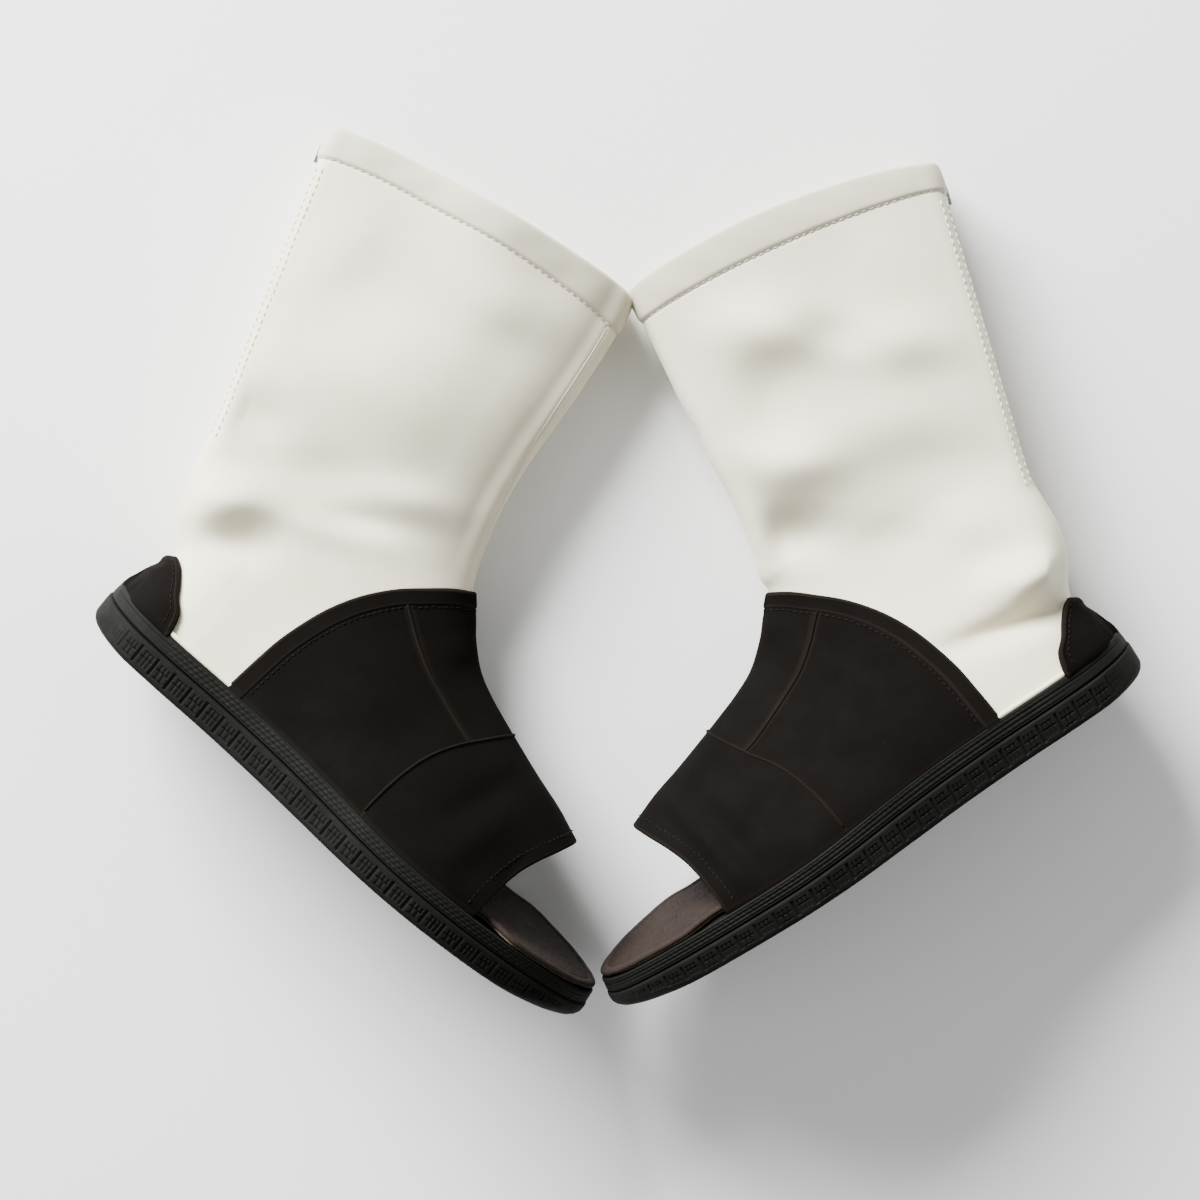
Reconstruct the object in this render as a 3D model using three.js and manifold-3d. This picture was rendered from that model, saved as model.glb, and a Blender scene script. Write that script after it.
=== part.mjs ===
// A pair of open-toe neoprene boots, lying on their inner sides as a flat lay, toes together.
// Each boot: two-layer rubber sole, footbed, black neoprene foot upper (toe band, instep, side panels,
// bound top line, heel counter), white neoprene shaft in two panels joined at a front seam, a stitched
// top hem and a back zip with its own tapes, teeth, stops, slider and pull.
// Units are millimetres, +Z is up from the surface the boots lie on. Standalone three.js module.
import * as THREE from "three";
import { mergeVertices } from "three/addons/utils/BufferGeometryUtils.js";
import Module from "manifold-3d";

const wasm = await Module();
wasm.setup();

// ---------- driving dimensions ----------
const NEOPRENE = 3.0; // sheet thickness of every neoprene panel
const SEAM_GAP = 0.9; // clear gap left between panels that are sewn edge to edge
const SOLE_TILT = THREE.MathUtils.degToRad(7.5); // a boot on its side leans its footbed upwards
const SOLE_LENGTH = 281;
const SOLE_THICK_HEEL = 22;
const SOLE_THICK_TOE = 17.5;
const OUTSOLE_SHARE = 0.64; // share of the thickness that is the lower, lugged band
const HEM_THICK = 4.6; // folded hem of the shaft
const VAMP_PROUD = 1.6; // the black upper stands this far outside the white one
const ZIP_GAP = 4.6; // half the opening between the shaft panels at the zip
const TAPE_HALF = 8.4; // how far a zip tape reaches to each side of the zip's centre
const ZIP_TRAVEL = 118; // travel of the slider, from closed at the hem to open at the ankle

// Sole outline: x from heel to toe, q from the inner side's tangent line to the outer side.
const SOLE_OUTLINE = [
  [-2.5, 35], [0, 23], [6.4, 12.5], [17.4, 4.6], [38, 0], [70, 3], [104, 7.5], [140, 5], [174, 0.6], [205, 0],
  [230, 3.4], [250, 10], [266, 20], [277, 33], [281, 45], [279, 57], [271, 69.5], [256, 81.5], [236, 91.5],
  [212, 98.4], [186, 101], [160, 98], [130, 89], [100, 80], [70, 74], [42, 71], [21, 66.5], [6.4, 56.4], [-0.2, 46.5],
];

// Flat outlines of a boot on its side: a runs along the sole from the heel, b runs from the sole to the shaft top.
const RIDGE = [[123, 112], [131, 103], [137, 96], [148, 86.5], [160, 80.5], [172, 76], [185, 71.5], [200, 66.5], [215, 62], [230, 56.5], [246, 51]];
const VAMP_TOP = [[71, 30], [72.5, 41], [75.5, 53], [80, 66], [87, 79], [96.5, 91], [107, 100.5], [115.5, 107.5]];
const TOE_EDGE = [[215.2, 14], [216.5, 24], [218.5, 33], [222, 41], [226.5, 49]];
const HEEL_LINE = [[7.5, 42], [9.5, 34], [9, 25], [7, 15], [6, 4]];
const HEEL_RIM = 6.4; // where the upper meets the sole's rim at the back

const BOOTS = {
  right: {
    mirror: false,
    angle: -39.9,
    origin: [-224.65, -4.44],
    front: [[92.5, 275], [94.5, 258], [98.5, 240], [101.5, 216], [103, 199], [104, 182], [106, 166], [109, 150], [113, 136], [118, 122]],
    back: [[-68, 250.5], [-61.5, 231], [-52.5, 204], [-43.3, 176.5], [-34.1, 149], [-25, 122], [-16, 95], [-12.8, 83], [-9, 69], [-3.5, 56], [3, 48]],
    hemTop: [[-56, 235], [-36, 241], [-9, 247], [27, 254], [64, 259.5], [86, 261.5]],
    hemLine: [[-47, 223], [-25, 229.5], [0, 234.5], [28, 240], [56, 243.5], [78, 245]],
    zip: { bottom: [-16, 95], top: [-61.5, 231] },
    split: { back: [-13.2, 86], front: [107, 161] },
    frontSeam: [0.1, 0.16, 0.215], // share of the way round from the front fold, at the foot, the ankle and the hem
    instepSeam: [0.47, 0.47],
    toeSeam: [0.555, 0.56, 0.555],
  },
  left: {
    mirror: true,
    angle: 32.1,
    origin: [241.35, -27.2],
    front: [[103.5, 278], [104.5, 263], [107.3, 239], [109.3, 222], [111, 207], [112, 191], [114, 176], [115, 161], [117, 146], [120, 132], [123, 121]],
    back: [[-49.2, 252.5], [-43.8, 233], [-35.7, 204], [-28, 176], [-20.2, 148], [-12.5, 120.5], [-5.5, 95], [-5, 84], [-4.5, 70], [-1.5, 57], [4, 48]],
    hemTop: [[-40, 239], [-19, 247.5], [8, 255], [36, 260.5], [63, 263], [91, 264]],
    hemLine: [[-36, 227], [-14, 233.5], [12, 239], [38, 243], [65, 246], [92, 247.5]],
    zip: { bottom: [-5.5, 95], top: [-43.8, 233] },
    split: { back: [-5.1, 86], front: [113.5, 163] },
    frontSeam: [-0.1, -0.16, -0.215],
    instepSeam: [0.4, 0.47],
    toeSeam: [0.575, 0.605, 0.565],
  },
};

// ---------- small helpers ----------
const cosT = Math.cos(SOLE_TILT), sinT = Math.sin(SOLE_TILT);
const lerp = (a, b, t) => a + (b - a) * t;
const clamp = (x, a, b) => Math.min(b, Math.max(a, x));
const smooth = (a, b, x) => { const t = clamp((x - a) / (b - a), 0, 1); return t * t * (3 - 2 * t); };
const curve2 = (pts) => new THREE.SplineCurve(pts.map((p) => new THREE.Vector2(p[0], p[1])));

// A fine polyline along a spline, with arc lengths, for distance tests and even sampling.
function polyline(pts, n = 160) {
  const line = curve2(pts).getSpacedPoints(n).map((p) => [p.x, p.y]);
  const s = [0];
  for (let i = 1; i < line.length; i++) s.push(s[i - 1] + Math.hypot(line[i][0] - line[i - 1][0], line[i][1] - line[i - 1][1]));
  return { line, s, length: s[s.length - 1] };
}
function distance(poly, a, b) {
  let best = Infinity;
  const p = poly.line;
  for (let i = 1; i < p.length; i++) {
    const dx = p[i][0] - p[i - 1][0], dy = p[i][1] - p[i - 1][1];
    const t = clamp(((a - p[i - 1][0]) * dx + (b - p[i - 1][1]) * dy) / (dx * dx + dy * dy), 0, 1);
    best = Math.min(best, Math.hypot(a - p[i - 1][0] - t * dx, b - p[i - 1][1] - t * dy));
  }
  return best;
}
function along(poly, t) {
  const target = clamp(t, 0, 1) * poly.length;
  let i = 1;
  while (i < poly.s.length - 1 && poly.s[i] < target) i++;
  const f = (target - poly.s[i - 1]) / (poly.s[i] - poly.s[i - 1] || 1);
  return [lerp(poly.line[i - 1][0], poly.line[i][0], f), lerp(poly.line[i - 1][1], poly.line[i][1], f)];
}
// The part of a polyline between two points on it.
function between(poly, from, to) {
  const near = (q) => poly.line.reduce((m, p, i) => (Math.hypot(p[0] - q[0], p[1] - q[1]) < Math.hypot(poly.line[m][0] - q[0], poly.line[m][1] - q[1]) ? i : m), 0);
  const i = near(from), j = near(to);
  const mid = i < j ? poly.line.slice(i + 1, j) : poly.line.slice(j + 1, i).reverse();
  return polylineOf([from, ...mid, to]);
}
function polylineOf(line) {
  const s = [0];
  for (let i = 1; i < line.length; i++) s.push(s[i - 1] + Math.hypot(line[i][0] - line[i - 1][0], line[i][1] - line[i - 1][1]));
  return { line, s, length: s[s.length - 1] };
}

// ---------- sole ----------
const soleThick = (x) => lerp(SOLE_THICK_HEEL, lerp(SOLE_THICK_HEEL - 3.2, SOLE_THICK_TOE, clamp((x - 190) / 91, 0, 1)), smooth(105, 195, x));
const outlineCurve = new THREE.CatmullRomCurve3(SOLE_OUTLINE.map((p) => new THREE.Vector3(p[0], p[1], 0)), true, "centripetal");
const OUTLINE = outlineCurve.getSpacedPoints(400).slice(0, 400).map((p) => [p.x, p.y]);
// Width limits of the outline at x.
function widthAt(x) {
  let lo = Infinity, hi = -Infinity;
  for (let i = 0; i < OUTLINE.length; i++) {
    const p = OUTLINE[i], r = OUTLINE[(i + 1) % OUTLINE.length];
    if ((p[0] - x) * (r[0] - x) <= 0 && p[0] !== r[0]) {
      const q = lerp(p[1], r[1], (x - p[0]) / (r[0] - p[0]));
      lo = Math.min(lo, q);
      hi = Math.max(hi, q);
    }
  }
  return [lo, hi];
}
// From the sole's own frame to the frame of the boot on its side.
const lay = (x, q, z) => [x, z * cosT - q * sinT, q * cosT + z * sinT];

// A closed ring of the outline, inset by a distance that may depend on x, with n points.
function soleRing(n, inset) {
  const pts = outlineCurve.getSpacedPoints(n).slice(0, n);
  return pts.map((p, i) => {
    const a = pts[(i + n - 1) % n], b = pts[(i + 1) % n];
    const tx = b.x - a.x, ty = b.y - a.y, l = Math.hypot(tx, ty);
    // the outline runs heel, inner side, toe, outer side, so the inside is to its left
    const d = typeof inset === "function" ? inset(p.x) : inset;
    return [p.x - (ty / l) * d, p.y + (tx / l) * d];
  });
}
function soleSolid(n, rings) {
  const pos = [], idx = [];
  const flat = rings.map((r) => soleRing(n, r.inset));
  rings.forEach((r, k) => flat[k].forEach(([x, q]) => pos.push(...lay(x, q, r.z(x)))));
  for (let k = 0; k + 1 < rings.length; k++)
    for (let i = 0; i < n; i++) {
      const j = (i + 1) % n, a = k * n + i, b = k * n + j, c = (k + 1) * n + i, d = (k + 1) * n + j;
      idx.push(a, b, d, a, d, c);
    }
  for (const [k, turn] of [[0, false], [rings.length - 1, true]])
    for (const t of THREE.ShapeUtils.triangulateShape(flat[k].map((p) => new THREE.Vector2(p[0], p[1])), []))
      idx.push(...(turn ? t : [t[0], t[2], t[1]]).map((i) => i + k * n));
  return closed(pos, idx);
}

// A BufferGeometry from positions and triangles, merged and turned to face outwards.
function closed(pos, idx) {
  let g = new THREE.BufferGeometry();
  g.setAttribute("position", new THREE.Float32BufferAttribute(pos, 3));
  g.setIndex(idx);
  g = mergeVertices(g, 1e-3);
  const p = g.getAttribute("position"), ix = g.getIndex().array;
  let vol = 0;
  const v = [new THREE.Vector3(), new THREE.Vector3(), new THREE.Vector3()];
  const keep = [];
  for (let i = 0; i < ix.length; i += 3) {
    if (ix[i] === ix[i + 1] || ix[i + 1] === ix[i + 2] || ix[i] === ix[i + 2]) continue;
    keep.push(ix[i], ix[i + 1], ix[i + 2]);
    v.forEach((w, k) => w.fromBufferAttribute(p, ix[i + k]));
    vol += v[0].dot(new THREE.Vector3().crossVectors(v[1], v[2]));
  }
  if (vol < 0) for (let i = 0; i < keep.length; i += 3) [keep[i + 1], keep[i + 2]] = [keep[i + 2], keep[i + 1]];
  g.setIndex(keep);
  return g;
}

// ---------- the soft upper's surface ----------
// Heights of the two layers of a boot on its side, over its flat outline.
function surface(boot) {
  const front = polyline([...boot.front, ...RIDGE]);
  const back = polyline([...boot.back, ...HEEL_LINE]);
  function height(a, b, side) {
    const x = clamp(a, 40, 216);
    const [, hi] = widthAt(x);
    const rimOuter = (hi - 3.5) * cosT + soleThick(x) * sinT;
    const s = smooth(6, 112, b);
    const outer = lerp(rimOuter, lerp(44, 39, smooth(110, 250, b)), s);
    const inner = lerp(6.2, 0.6, smooth(14, 48, b));
    const rf = lerp(86, 31, smooth(92, 150, b)), pf = lerp(2.0, 2.3, smooth(90, 150, b));
    const rb = lerp(36, 23, smooth(40, 100, b)), pb = lerp(2.0, 4.0, smooth(45, 100, b));
    const ef = (1 - (1 - clamp(distance(front, a, b) / rf, 0, 1)) ** pf) ** (1 / pf);
    const eb = (1 - (1 - clamp(distance(back, a, b) / rb, 0, 1)) ** pb) ** (1 / pb);
    return (outer + inner) / 2 + (side * (outer - inner)) / 2 * ef * eb;
  }
  // Where a panel meets the top of the sole, on side +1 (outer) or -1 (inner).
  function rim(a, side) {
    let b = 16, h = 0;
    for (let k = 0; k < 4; k++) {
      h = height(a, b, side);
      b = soleThick(a) * cosT - ((h - soleThick(a) * sinT) / cosT) * sinT + 0.8;
    }
    return [a, b];
  }
  return { front, back, height, rim };
}

// A shell of one thickness from a grid of points on its outer face. grid[i][j] = [x, y, z].
function shell(grid, thick, proud = 0) {
  const n = grid.length, m = grid[0].length;
  const V = grid.map((r) => r.map((p) => new THREE.Vector3(...p)));
  const pos = [], idx = [];
  const normal = (i, j) => {
    const u = new THREE.Vector3().subVectors(V[Math.min(i + 1, n - 1)][j], V[Math.max(i - 1, 0)][j]);
    const w = new THREE.Vector3().subVectors(V[i][Math.min(j + 1, m - 1)], V[i][Math.max(j - 1, 0)]);
    return u.cross(w).normalize();
  };
  const N = V.map((r, i) => r.map((_, j) => normal(i, j)));
  for (const off of [proud, proud - thick])
    for (let i = 0; i < n; i++)
      for (let j = 0; j < m; j++) {
        const p = V[i][j].clone().addScaledVector(N[i][j], off);
        pos.push(p.x, p.y, p.z);
      }
  const at = (k, i, j) => k * n * m + i * m + j;
  for (let i = 0; i + 1 < n; i++)
    for (let j = 0; j + 1 < m; j++)
      for (const k of [0, 1]) {
        const q = [at(k, i, j), at(k, i + 1, j), at(k, i + 1, j + 1), at(k, i, j + 1)];
        if (k) q.reverse();
        idx.push(q[0], q[1], q[2], q[0], q[2], q[3]);
      }
  const edge = [];
  for (let i = 0; i + 1 < n; i++) edge.push([[i + 1, 0], [i, 0]], [[i, m - 1], [i + 1, m - 1]]);
  for (let j = 0; j + 1 < m; j++) edge.push([[0, j], [0, j + 1]], [[n - 1, j + 1], [n - 1, j]]);
  for (const [p, q] of edge) {
    const a = at(0, ...p), b = at(0, ...q), c = at(1, ...q), d = at(1, ...p);
    idx.push(a, b, c, a, c, d);
  }
  return closed(pos, idx);
}

// Bilinearly blended patch between four plan curves, each a function of 0..1 giving [a, b].
const coons = (bottom, top, left, right) => (u, v) => {
  const B = bottom(u), T = top(u), L = left(v), R = right(v);
  const c00 = bottom(0), c10 = bottom(1), c01 = top(0), c11 = top(1);
  return [0, 1].map((k) =>
    (1 - v) * B[k] + v * T[k] + (1 - u) * L[k] + u * R[k] -
    ((1 - u) * (1 - v) * c00[k] + u * (1 - v) * c10[k] + (1 - u) * v * c01[k] + u * v * c11[k]));
};

// ---------- one boot ----------
const MATERIALS = {
  rubber: { color: 0x23241f, roughness: 0.72, metalness: 0 },
  midsole: { color: 0x2c2d28, roughness: 0.66, metalness: 0 },
  footbed: { color: 0x463c38, roughness: 0.6, metalness: 0 },
  board: { color: 0x8a7458, roughness: 0.95, metalness: 0 },
  black: { color: 0x17130f, roughness: 0.85, metalness: 0 },
  white: { color: 0xe6e3d8, roughness: 0.8, metalness: 0 },
  tape: { color: 0xddd9cc, roughness: 0.85, metalness: 0 },
  coil: { color: 0xd8d4c8, roughness: 0.45, metalness: 0 },
  metal: { color: 0xb9babc, roughness: 0.28, metalness: 1 },
};
const MATERIAL = Object.fromEntries(Object.entries(MATERIALS).map(([k, v]) => [k, new THREE.MeshStandardMaterial({ name: k, ...v })]));

function manifoldOf(geometry) {
  let g = geometry.clone();
  g.deleteAttribute("normal");
  g.deleteAttribute("uv");
  g = mergeVertices(g, 1e-4);
  return new wasm.Manifold(new wasm.Mesh({ numProp: 3, vertProperties: g.attributes.position.array, triVerts: new Uint32Array(g.index.array) }));
}
function geometryOf(solid) {
  const m = solid.getMesh(), v = new Float32Array(m.numVert * 3);
  for (let i = 0; i < m.numVert; i++) v.set(m.vertProperties.subarray(i * m.numProp, i * m.numProp + 3), i * 3);
  const g = new THREE.BufferGeometry();
  g.setAttribute("position", new THREE.BufferAttribute(v, 3));
  g.setIndex(new THREE.BufferAttribute(new Uint32Array(m.triVerts), 1));
  return g;
}
const box = (x, y, z, cx = 0, cy = 0, cz = 0) => new THREE.BoxGeometry(x, y, z).translate(cx, cy, cz);

function makeBoot(name, boot) {
  const group = new THREE.Group();
  const put = (parent, node, geometry, material) => {
    const mesh = new THREE.Mesh(geometry, MATERIAL[material]);
    mesh.name = `${name}_${node}`;
    parent.add(mesh);
    return mesh;
  };
  const S = surface(boot);

  // Sole unit: lugged outsole, midsole over a recessed waist line, board and footbed.
  const N = 44;
  const toeLift = (x) => smooth(225, 281, x);
  const low = (x) => OUTSOLE_SHARE * soleThick(x);
  put(group, "outsole", soleSolid(N, [
    { inset: (x) => 2.2 + 11 * toeLift(x) ** 2, z: () => 0 },
    { inset: 0, z: (x) => 2.6 + 1.6 * toeLift(x) },
    { inset: 0, z: (x) => low(x) - 1.2 },
    { inset: 1.4, z: (x) => low(x) },
  ]), "rubber");
  put(group, "midsole", soleSolid(N, [
    { inset: 4.2, z: (x) => low(x) + 0.3 },
    { inset: 3.4, z: (x) => low(x) + 1.0 },
    { inset: 0.9, z: (x) => low(x) + 1.9 },
    { inset: 1.3, z: (x) => soleThick(x) - 2.2 },
    { inset: 2.6, z: (x) => soleThick(x) - 1.2 },
  ]), "midsole");
  // The uppers stand on the sole's rim, so the board and footbed stay inside them and fill the toe.
  const inside = (x) => lerp(lerp(15, 10.9, smooth(16, 46, x)), 2.4, smooth(228, 242, x));
  put(group, "insole_board", soleSolid(36, [
    { inset: (x) => inside(x) + 3, z: (x) => soleThick(x) - 0.3 },
    { inset: (x) => inside(x) + 3, z: (x) => soleThick(x) + 0.6 },
  ]), "board");
  put(group, "footbed", soleSolid(N, [
    { inset: (x) => inside(x) + 0.4, z: (x) => soleThick(x) + 1.1 },
    { inset: inside, z: (x) => soleThick(x) + 1.7 },
    { inset: (x) => inside(x) + 0.8, z: (x) => soleThick(x) + 3.0 },
    { inset: (x) => inside(x) + 5.5, z: (x) => soleThick(x) + 3.2 },
    { inset: (x) => inside(x) + 7.5, z: (x) => soleThick(x) + 2.5 },
  ]), "footbed");

  // ----- black foot upper -----
  const ridgeTop = RIDGE[0], ridgeToe = [230.5, 56.2];
  const ridge = between(polyline(RIDGE), ridgeTop, ridgeToe);
  const vampPlan = {};
  for (const side of [1, -1]) {
    const r0 = S.rim(69, side), r1 = S.rim(215, side);
    const cut = (pts, lo) => pts.filter((p) => p[1] > lo + 5);
    const topLine = polyline([r0, ...cut(VAMP_TOP, r0[1]), ridgeTop]);
    const toeLine = polyline([r1, ...cut(TOE_EDGE, r1[1]), ridgeToe]);
    const rimLine = polylineOf(Array.from({ length: 40 }, (_, i) => S.rim(lerp(69, 215, i / 39), side)));
    // u: rim to ridge, v: ankle to toe
    vampPlan[side] = coons((u) => along(topLine, u), (u) => along(toeLine, u), (v) => along(rimLine, v), (v) => along(ridge, v));
  }
  // sigma runs +1 outer rim, 0 ridge, -1 inner rim
  const vampPoint = (sigma, t) => {
    const side = sigma >= 0 ? 1 : -1;
    const u = Math.cos((Math.abs(sigma) * Math.PI) / 2);
    const [a, b] = vampPlan[side](u, t);
    return [a, b, S.height(a, b, side)];
  };
  const span = (from, to, n) => Array.from({ length: n + 1 }, (_, i) => lerp(from, to, i / n));
  const vampShell = (sFrom, sTo, n, t0, t1, m, thick, proud) => {
    const of = (f, x) => (typeof f === "function" ? f(x) : f);
    return shell(span(0, 1, n).map((i) => span(0, 1, m).map((k) => {
      // seams follow curves of their own, so the two ways of going across are found in turn
      let t = k, sig = 0;
      for (let r = 0; r < 4; r++) {
        sig = lerp(of(sFrom, t), of(sTo, t), i);
        t = lerp(of(t0, sig), of(t1, sig), k);
      }
      return vampPoint(sig, t);
    })), thick, proud);
  };
  const g = 0.0035; // half a seam gap as a share of the foot upper's length, about 0.5 mm
  const BIND = 0.05;
  const seam1 = (side, off) => (t) => side * (lerp(boot.instepSeam[0], boot.instepSeam[1], clamp(t / 0.55, 0, 1)) + off);
  const seam2 = (off) => (sig) => {
    const [r, m, e] = boot.toeSeam, k = Math.abs(sig);
    return (k > 0.5 ? lerp(m, r, (k - 0.5) * 2) : lerp(e, m, k * 2)) + off;
  };
  put(group, "vamp_binding", vampShell(1, -1, 24, 0.018, BIND - g, 1, NEOPRENE + 0.6, VAMP_PROUD + 0.6), "black");
  put(group, "side_panel_outer", vampShell(1, seam1(1, 0.006), 7, BIND + g, seam2(-g), 7, NEOPRENE, VAMP_PROUD), "black");
  put(group, "side_panel_inner", vampShell(seam1(-1, 0.006), -1, 7, BIND + g, seam2(-g), 7, NEOPRENE, VAMP_PROUD), "black");
  put(group, "instep_panel", vampShell(seam1(1, -0.006), seam1(-1, -0.006), 10, BIND + g, seam2(-g), 7, NEOPRENE, VAMP_PROUD), "black");
  put(group, "toe_band", vampShell(1, -1, 24, seam2(g), 1, 6, NEOPRENE, VAMP_PROUD), "black");

  // ----- heel counter: around the back of the heel, outer side to inner side -----
  const heelPoint = (k, w) => {
    const side = k >= 0 ? 1 : -1;
    const rimFront = S.rim(33, side), rimBack = S.rim(HEEL_RIM, side);
    const frontEdge = polyline([rimFront, [30.5, rimFront[1] + 8], [25.5, 27], [21.5, 32.4], [17, 37.4], [13.2, 39.8]]);
    const bottom = (u) => S.rim(lerp(HEEL_RIM, 33, u), side);
    const top = polylineOf([[9.3, 34.6], [10.8, 37.6], [13.2, 39.8]]);
    const backEdge = polyline([rimBack, [8.9, 25], [9.5, 30], [9.3, 34.6]]);
    const [a, b] = coons(bottom, (u) => along(top, u), (v) => along(backEdge, v), (v) => along(frontEdge, v))(1 - Math.cos((Math.abs(k) * Math.PI) / 2), w);
    return [a, b, S.height(a, b, side)];
  };
  put(group, "heel_counter", shell(span(-1, 1, 16).map((k) => span(0, 1, 4).map((w) => heelPoint(k, w))), NEOPRENE, NEOPRENE + 3.4), "black");

  // ----- white shaft -----
  // lambda runs +1 at the zip on the outer side, 0 at the front fold, -1 at the zip on the inner side.
  const ringPlan = (endShare, bottomOf, topOf, leftOf, rightOf) => {
    const plan = {};
    for (const side of [1, -1]) plan[side] = coons(bottomOf(side), topOf(side), leftOf(side), rightOf(side));
    return (lambda, v) => {
      const side = lambda >= 0 ? 1 : -1, k = Math.abs(lambda);
      // the samples gather where the surface turns: at the front fold and at the back wall
      const turn = (e, p) => 1 - (1 - e ** p) ** (1 / p);
      const u = k < 0.38 ? 1 - 0.207 * turn(Math.sin((Math.PI / 2) * (k / 0.38)), 2.3)
        : k < 0.62 ? lerp(0.793, 0.153, (k - 0.38) / 0.24)
        : 0.153 * turn(1 - (1 - endShare) * ((k - 0.62) / 0.38) ** 1.5, 4);
      return plan[side](u, v);
    };
  };
  const ringPoint = (plan, lambda, v, gap) => {
    const side = lambda >= 0 ? 1 : -1;
    const [a, b] = plan(lambda, v);
    let h = S.height(a, b, side);
    const mid = (S.height(a, b, 1) + S.height(a, b, -1)) / 2;
    if (gap && Math.abs(lambda) > 0.9) h = side > 0 ? Math.max(h, mid + gap) : Math.min(h, mid - gap);
    return [a, b, h];
  };
  const split = polylineOf([boot.split.back, boot.split.front]);
  const frontLow = between(S.front, ridgeTop, boot.split.front);
  const backLow = (side) => { const r = S.rim(HEEL_RIM, side); return between(polylineOf([...S.back.line]), r, boot.split.back); };
  const lowBottom = (side) => {
    const r0 = S.rim(69, side);
    const topLine = polyline([r0, ...VAMP_TOP.filter((p) => p[1] > r0[1] + 5), ridgeTop]);
    const rimLine = polylineOf(Array.from({ length: 24 }, (_, i) => S.rim(lerp(HEEL_RIM, 69, i / 23), side)));
    const share = 0.4197;
    return (u) => (u < share ? along(rimLine, u / share) : along(topLine, (u - share) / (1 - share)));
  };
  const lowPlan = ringPlan(0.06, lowBottom, () => (u) => along(split, u), (side) => (v) => along(backLow(side), v), () => (v) => along(frontLow, v));
  // Samples from a seam (0) to the zip (1), on side +1 or -1. The tube lies a little rolled, so the front
  // seam is off the fold, and it runs back to the fold at the foot.
  const LEVELS = [0, 0.1, 0.19, 0.28, 0.38, 0.45, 0.52, 0.57, 0.62, 0.7, 0.78, 0.86, 0.93, 1];
  const panel = (plan, side, seamAt, gapShare, v0, v1, n, gap, end, thick, proud) =>
    shell((side > 0 ? [...LEVELS].reverse() : LEVELS).map((lev) => span(0, 1, n).map((k) => {
      const v = lerp(v0, v1, k), s0 = seamAt(v) + side * gapShare;
      return ringPoint(plan, side > 0 ? lerp(s0, end, lev) : lerp(s0, -end, lev), v, gap);
    })), thick, proud);
  const [seamFoot, seamAnkle, seamHem] = boot.frontSeam;
  const lowSeam = (v) => lerp(seamFoot, seamAnkle, v), upSeam = (v) => lerp(seamAnkle, seamHem, v);
  put(group, "ankle_panel_outer", panel(lowPlan, 1, lowSeam, 0.014, 0.008, 0.985, 6, 0.5, 0.995, NEOPRENE, 0), "white");
  put(group, "ankle_panel_inner", panel(lowPlan, -1, lowSeam, 0.014, 0.008, 0.985, 6, 0.5, 0.995, NEOPRENE, 0), "white");

  const shaft = new THREE.Group();
  group.add(shaft);
  const cross = (poly, b) => poly.line.reduce((m, p) => (Math.abs(p[1] - b) < Math.abs(m[1] - b) ? p : m));
  const hemB0 = cross(S.back, boot.hemLine[0][1] - 4.2), hemF0 = cross(S.front, boot.hemLine[5][1] - 0.4);
  const topB = cross(S.back, boot.hemTop[0][1] - 3.4), topF = cross(S.front, boot.hemTop[5][1] - 1.6);
  const hemLine = polyline([hemB0, ...boot.hemLine, hemF0]);
  const hemTop = polyline([topB, ...boot.hemTop, topF]);
  const upBack = between(S.back, boot.split.back, hemB0), upFront = between(S.front, boot.split.front, hemF0);
  const upPlan = ringPlan(0.24, () => (u) => along(split, u), () => (u) => along(hemLine, u), () => (v) => along(upBack, v), () => (v) => along(upFront, v));
  put(shaft, "shaft_panel_outer", panel(upPlan, 1, upSeam, 0.011, 0.008, 0.994, 7, ZIP_GAP, 1, NEOPRENE, 0), "white");
  put(shaft, "shaft_panel_inner", panel(upPlan, -1, upSeam, 0.011, 0.008, 0.994, 7, ZIP_GAP, 1, NEOPRENE, 0), "white");
  const hemBackLine = between(S.back, hemB0, topB), hemFrontLine = between(S.front, hemF0, topF);
  const hemPlan = ringPlan(0.28, () => (u) => along(hemLine, u), () => (u) => along(hemTop, u), () => (v) => along(hemBackLine, v), () => (v) => along(hemFrontLine, v));
  const RING = [...LEVELS].reverse().concat(LEVELS.slice(1).map((l) => -l));
  put(shaft, "top_hem", shell(RING.map((l) => span(0, 1, 2).map((k) => ringPoint(hemPlan, l, lerp(0.05, 1, k), ZIP_GAP + 0.6))), HEM_THICK, 0.9), "white");
  // tape that covers the front seam on the inside
  const seamTape = shell(span(0.055, -0.055, 4).map((d) => span(0, 1, 7).map((k) => ringPoint(upPlan, upSeam(k) + d, lerp(0.02, 0.985, k), 0))), 0.8, -NEOPRENE - 1.2);
  put(shaft, "front_seam_tape", seamTape, "tape");

  // ----- back zip, in its own straight frame: X outwards from the boot's back, Y up the zip, Z across it -----
  const [zb, zt] = [boot.zip.bottom, boot.zip.top];
  const zipLength = Math.hypot(zt[0] - zb[0], zt[1] - zb[1]);
  const dirA = (zt[0] - zb[0]) / zipLength, dirB = (zt[1] - zb[1]) / zipLength;
  const midTop = (S.height(zt[0] + 30, zt[1], 1) + S.height(zt[0] + 30, zt[1], -1)) / 2;
  const midBottom = (S.height(zb[0] + 30, zb[1], 1) + S.height(zb[0] + 30, zb[1], -1)) / 2;
  const zip = new THREE.Group();
  zip.name = `${name}_zip_frame`;
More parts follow.
